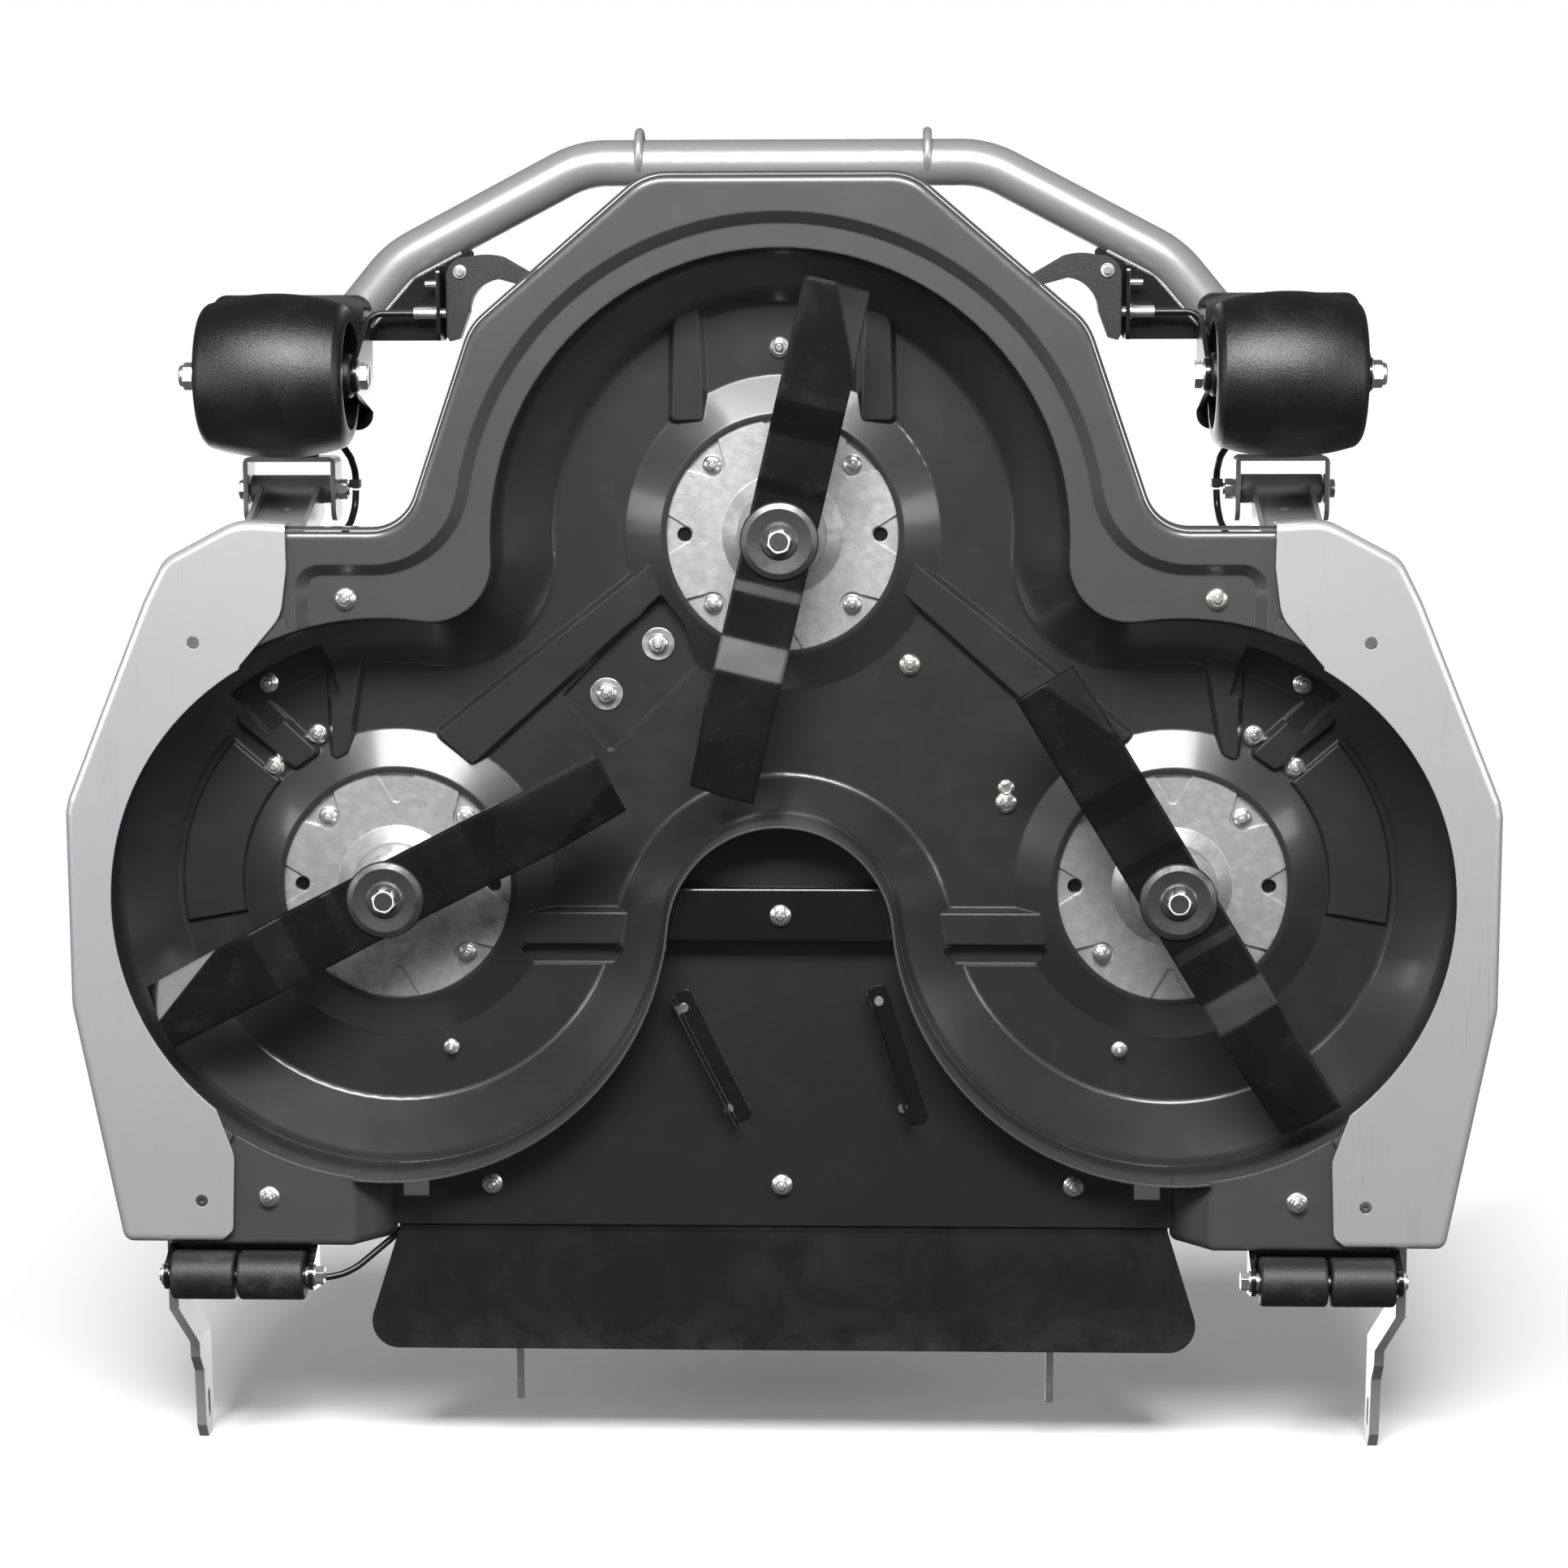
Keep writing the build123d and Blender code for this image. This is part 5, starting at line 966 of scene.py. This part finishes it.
@dataclass
class DeckShell:
    """Pressed shell with its skirts, plug, plate and flap."""

    painted: tuple[str, ...] = ("deck_shell", "mulch_plug")
    black: tuple[str, ...] = ("plug_crossbar", "chute_fins", "wheel_forks", "latch_brackets",
                              "roller_brackets", "spindle_mounts", "idler_bracket", "idler_pulley")
    skirts: tuple[str, ...] = ("skirt_right", "skirt_left")

    def build(self, frame: dict) -> None:
        """Dresses the sheet parts.
        """
        dress(frame, DECK_PAINT, self.painted)
        # The chute plate takes the darker copy of the deck paint, as painted shade.
        dress(frame, PLATE_PAINTED_SHADE, ("chute_plate",))
        dress(frame, DARK_PAINT, self.black)
        dress(frame, SKIRT_PAINT, self.skirts)
        dress(frame, FLAP, ("rubber_flap",))


@dataclass
class Running:
    """Spindles, blades, belt and what turns with them."""

    names: tuple[str, ...] = ("front", "right", "left")

    def build(self, frame: dict) -> None:
        """Dresses the running gear.
        """
        dress(frame, CAST, [f"spindle_housing_{n}" for n in self.names])
        dress(frame, BLADE, [f"blade_{n}" for n in self.names])
        dress(frame, CUP, [f"blade_bolt_{n}" for n in self.names])
        dress(frame, SHAFT, [f"spindle_shaft_{n}" for n in self.names] + ["spindle_bearings"])
        dress(frame, BELT, ["drive_belt"])


@dataclass
class FrontFrame:
    """Tube, hinges, forks, wheels, latches and cables."""

    silver: tuple[str, ...] = ("bumper_tube", "hinge_brackets", "link_arms", "rear_arms", "rear_brackets")

    def build(self, frame: dict) -> None:
        """Dresses the frame.
        """
        dress(frame, FRAME_PAINT, self.silver)
        dress(frame, WHEEL, ("wheel_right", "wheel_left"))
        dress(frame, HANDLE, ("latch_handle_right", "latch_handle_left", "cable_clips"))
        dress(frame, SHEATH, ("frame_cables", "deck_cables", "lift_cable"))
        dress(frame, ROLLER, [f"roller_{s}_{k}" for s in ("right", "left") for k in ("inner", "outer")])


@dataclass
class Fasteners:
    """Nuts, bolts, pins and rods."""

    plain: tuple[str, ...] = ("fin_rivets", "latch_pins", "roller_axles", "arm_bolts",
                              "idler_bolts", "cable_stops", "rear_rods")
    ceiling: tuple[tuple[float, float], ...] = ((-526.7, 122.9), (528.7, 122.6), (-130.3, 228.9), (-230, 86),
                                                (2.9, 553.2), (484, 155.7), (-484, 155.7))
    washered: tuple[tuple[float, float], ...] = ((129, 249.6), (183, 197.5))
    sunk: tuple[tuple[float, float], ...] = ((533.4, 210), (-533.4, 210))
    shelf: tuple[tuple[float, float], ...] = ((435, 306), (-435, 306))
    corner: tuple[tuple[float, float], ...] = ((523.4, -306), (-523.4, -306))
    flap: tuple[tuple[float, float], ...] = ((299.2, -300.5), (0, -300.5), (-299.2, -300.5))
    crossbar: tuple[tuple[float, float], ...] = ((0.0, -15.0),)
    small: tuple[tuple[float, float], ...] = ((349.4, -174.6), (-349.4, -174.6), (-230, 101.2))
    ceiling_z: float = 158.0
    round_head: tuple[tuple[float, float], ...] = ((0, 9.0), (1.2, 9.0), (2.6, 7.8), (3.6, 5.2), (4.0, 1.5))
    screw_ring: float = 101.0
    mount_ring: float = 175.0
    screw_z: float = 48.2
    axle: tuple[float, float] = (527.0, 82.0)
    hinge: tuple[float, float] = (406.5, 205.0)

    def rows(self) -> list[tuple[tuple[tuple[float, float], ...], float, float]]:
        """Places of the flange nuts, the height of their seat, and the thickness that each row grips."""
        return [(self.ceiling, self.ceiling_z, 3.0), (self.washered, self.ceiling_z + 3.0, 5.0),
                (self.sunk, self.ceiling_z - 3.0, 6.0), (self.shelf, 52.0, 3.0), (self.corner, 38.0, 3.0),
                (self.flap, 78.0, 9.0), (self.crossbar, 55.0, 2.5)]

    def deck_nuts(self, zinc: bpy.types.Material) -> None:
        """Flange nuts under the shell, with their studs and the round heads on top.

        Args:
            zinc: Their material.
        """
        maker = Maker("flange_nut_set", "deck", "zinc")
        down, up = Vector((0, 0, -1)), Vector((0, 0, 1))
        for places, seat, grip in self.rows():
            for x, ahead in places:
                spin = random.uniform(0, math.pi / 3)
                maker.flange_nut(at(x, ahead, seat), down, 1.0, spin)
                maker.stud(at(x, ahead, seat), down, 7.5, 13.0, 4.5)
                maker.turned(at(x, ahead, seat + grip), up, self.round_head)
        for x, ahead in self.washered:
            maker.turned(at(x, ahead, 161.0), up, [(0, 16.6), (0.4, 17.0), (1.6, 17.0), (2.0, 16.6)], 48)
        maker.done(zinc, ("flange_nuts",))
        maker = Maker("small_nut_set", "deck", "zinc")
        for x, ahead in self.small:
            seat = at(x, ahead, self.ceiling_z)
            maker.flange_nut(seat, down, 0.78, random.uniform(0, math.pi / 3))
            if ahead < 0:
                top = at(x, ahead, self.ceiling_z + 3.0)
                maker.stud(seat, down, 6.0, 16.0, 3.0, 1.25)
                maker.turned(top, up, [(0, 6.5), (1.2, 6.5), (2.6, 5.6), (4.0, 3.0)], 24)
        maker.done(zinc, ("small_nuts",))

    def spindle_nuts(self, zinc: bpy.types.Material) -> None:
        """Nuts in the pockets of the spindle housings, and the nuts and bolts of the rings above them.

        Args:
            zinc: Their material.
        """
        maker = Maker("spindle_nut_set", "deck", "zinc")
        down, up = Vector((0, 0, -1)), Vector((0, 0, 1))
        for cx, cy in SPINDLES.values():
            for angle in (45, 135, 225, 315):
                x = cx + self.screw_ring * math.cos(math.radians(angle))
                y = cy + self.screw_ring * math.sin(math.radians(angle))
                spin = random.uniform(0, math.pi / 3)
                maker.turned(at(x, y, 149.0), down, [(0, 9.6), (0.3, 10.0), (1.6, 10.0), (2.0, 9.6)])
                maker.flange_nut(at(x, y, 147.0), down, 0.86, spin)
                maker.stud(at(x, y, 147.0), down, 6.6, 12.0, 4.0)
                maker.turned(at(x, y, 147.0), up, [(0, 5.0), (14.0, 5.0)], 16)
                maker.head(at(x, y, 161.0), up, 7.5, 6.5, 0.0, spin)
        maker.done(zinc, ("spindle_screws",))
        maker = Maker("mount_nut_set", "deck", "zinc")
        for cx, cy in SPINDLES.values():
            for angle in (0, 180, 270):
                x = cx + self.mount_ring * math.cos(math.radians(angle))
                y = cy + self.mount_ring * math.sin(math.radians(angle))
                maker.flange_nut(at(x, y, 165.0), up, 1.0, random.uniform(0, math.pi / 3))
        maker.done(zinc, ("mount_nuts",))

    def blade_screws(self, bright: bpy.types.Material) -> None:
        """Bright hexagon head in the middle of each blade's cup washer.

        Args:
            bright: Their material.
        """
        for name, (x, ahead) in SPINDLES.items():
            maker = Maker(f"blade_screw_{name}", f"spindle_{name}", "zinc")
            spin = random.uniform(0, math.pi / 3)
            maker.head(at(x, ahead, self.screw_z), Vector((0, 0, -1)), 11.15, 9.4, 0.0, spin)
            maker.done(bright)

    def frame_bolts(self, zinc: bpy.types.Material) -> None:
        """Axle bolts of the wheels and bolts of the hinges.

        Args:
            zinc: Their material.
        """
        maker = Maker("axle_bolt_set", "front_frame", "zinc")
        hinge = Maker("hinge_bolt_set", "front_frame", "zinc")
        for side in Side:
            way = side.value
            out, into = Vector((way, 0, 0)), Vector((-way, 0, 0))
            maker.turned(at(way * 504, *self.axle), out, [(-82, 8.0), (82, 8.0)], 24)
            maker.head(at(way * 422, *self.axle), into, 12.1, 8.5, 16.0, 0.3 * way)
            maker.head(at(way * 586, *self.axle), out, 12.1, 10.0, 16.0, 0.7 * way)
            collar = [(0, 11.0), (2.4, 11.0), (3.7, 9.8), (4.0, 8.2), (2.6, 7.4)]
            maker.turned(at(way * 598, *self.axle), out, collar)
            hinge.turned(at(way * 452, *self.hinge), out, [(0, 5.4), (0.6, 6.0), (112, 6.0)], 20)
            hinge.head(at(way * 464, *self.hinge), into, 9.1, 9.9, 0.0, 0.4)
            hinge.head(at(way * 560, *self.hinge), out, 9.1, 7.0, 0.0, 0.9)
        maker.done(zinc, ("wheel_axles",))
        hinge.done(zinc, ("hinge_bolts",))

    def build(self, frame: dict) -> None:
        """Makes and dresses the fasteners.
        """
        dress(frame, ZINC, self.plain)
        dress(frame, DIM, ("skirt_fasteners",))
        zinc = frame["nodes"][self.plain[0]].data.materials[0]
        self.deck_nuts(zinc)
        self.spindle_nuts(zinc)
        self.blade_screws(BRIGHT.make())
        self.frame_bolts(zinc)


@dataclass
class Welds:
    """Weld beads on the front frame and the plug."""

    bead: float = 2.6

    def ring(self, centre: Vector, axis: Vector, radius: float, count: int = 40) -> list[Vector]:
        """Points of a circle.

        Args:
            centre: Its centre in metres.
            axis: Its axis.
            radius: Its radius in millimetres.
            count: Number of points.

        Returns:
            The points, with the first one repeated at the end.
        """
        turn = axis.to_track_quat("Z", "Y").to_matrix()
        return [centre + turn @ Vector((math.cos(a), math.sin(a), 0)) * radius * MM
                for a in (2 * math.pi * step / count for step in range(count + 1))]

    def build(self, frame: dict) -> None:
        """Makes the beads.
        """
        silver = frame["nodes"]["bumper_tube"].data.materials[0]
        dark = frame["nodes"]["plug_crossbar"].data.materials[0]
        maker = Maker("frame_welds", "front_frame", "silver_paint")
        for side in Side:
            way = side.value
            maker.bead(self.ring(at(way * 512, 442.5, 205), Vector((0, 1, 0)), 25.0), self.bead)
            latch_line = ((424.5, 573.5), (380, 624), (330, 649.6))
            maker.bead([at(way * x, ahead, 193.5) for x, ahead in latch_line], 2.4)
            for x in (489, 535):
                maker.bead([at(way * x, 474, 193), at(way * x, 528, 193)], 2.8)
        maker.done(silver)
        maker = Maker("plug_welds", "deck", "deck_paint")
        for side in Side:
            way = side.value
            maker.bead([at(way * 100, 10, 57), at(way * 112, -40, 57)], 2.0)
        maker.done(dark)


def main() -> None:
    """Builds the deck and the stage around the frame."""
    logging.basicConfig(level=logging.INFO, format="%(message)s")
    random.seed(7)
    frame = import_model()
    Studio().build()
    for part in (DeckShell(), Running(), FrontFrame(), Fasteners(), Welds()):
        part.build(frame)
        log.info("%s dressed", type(part).__name__)


if __name__ == "__main__":
    main()
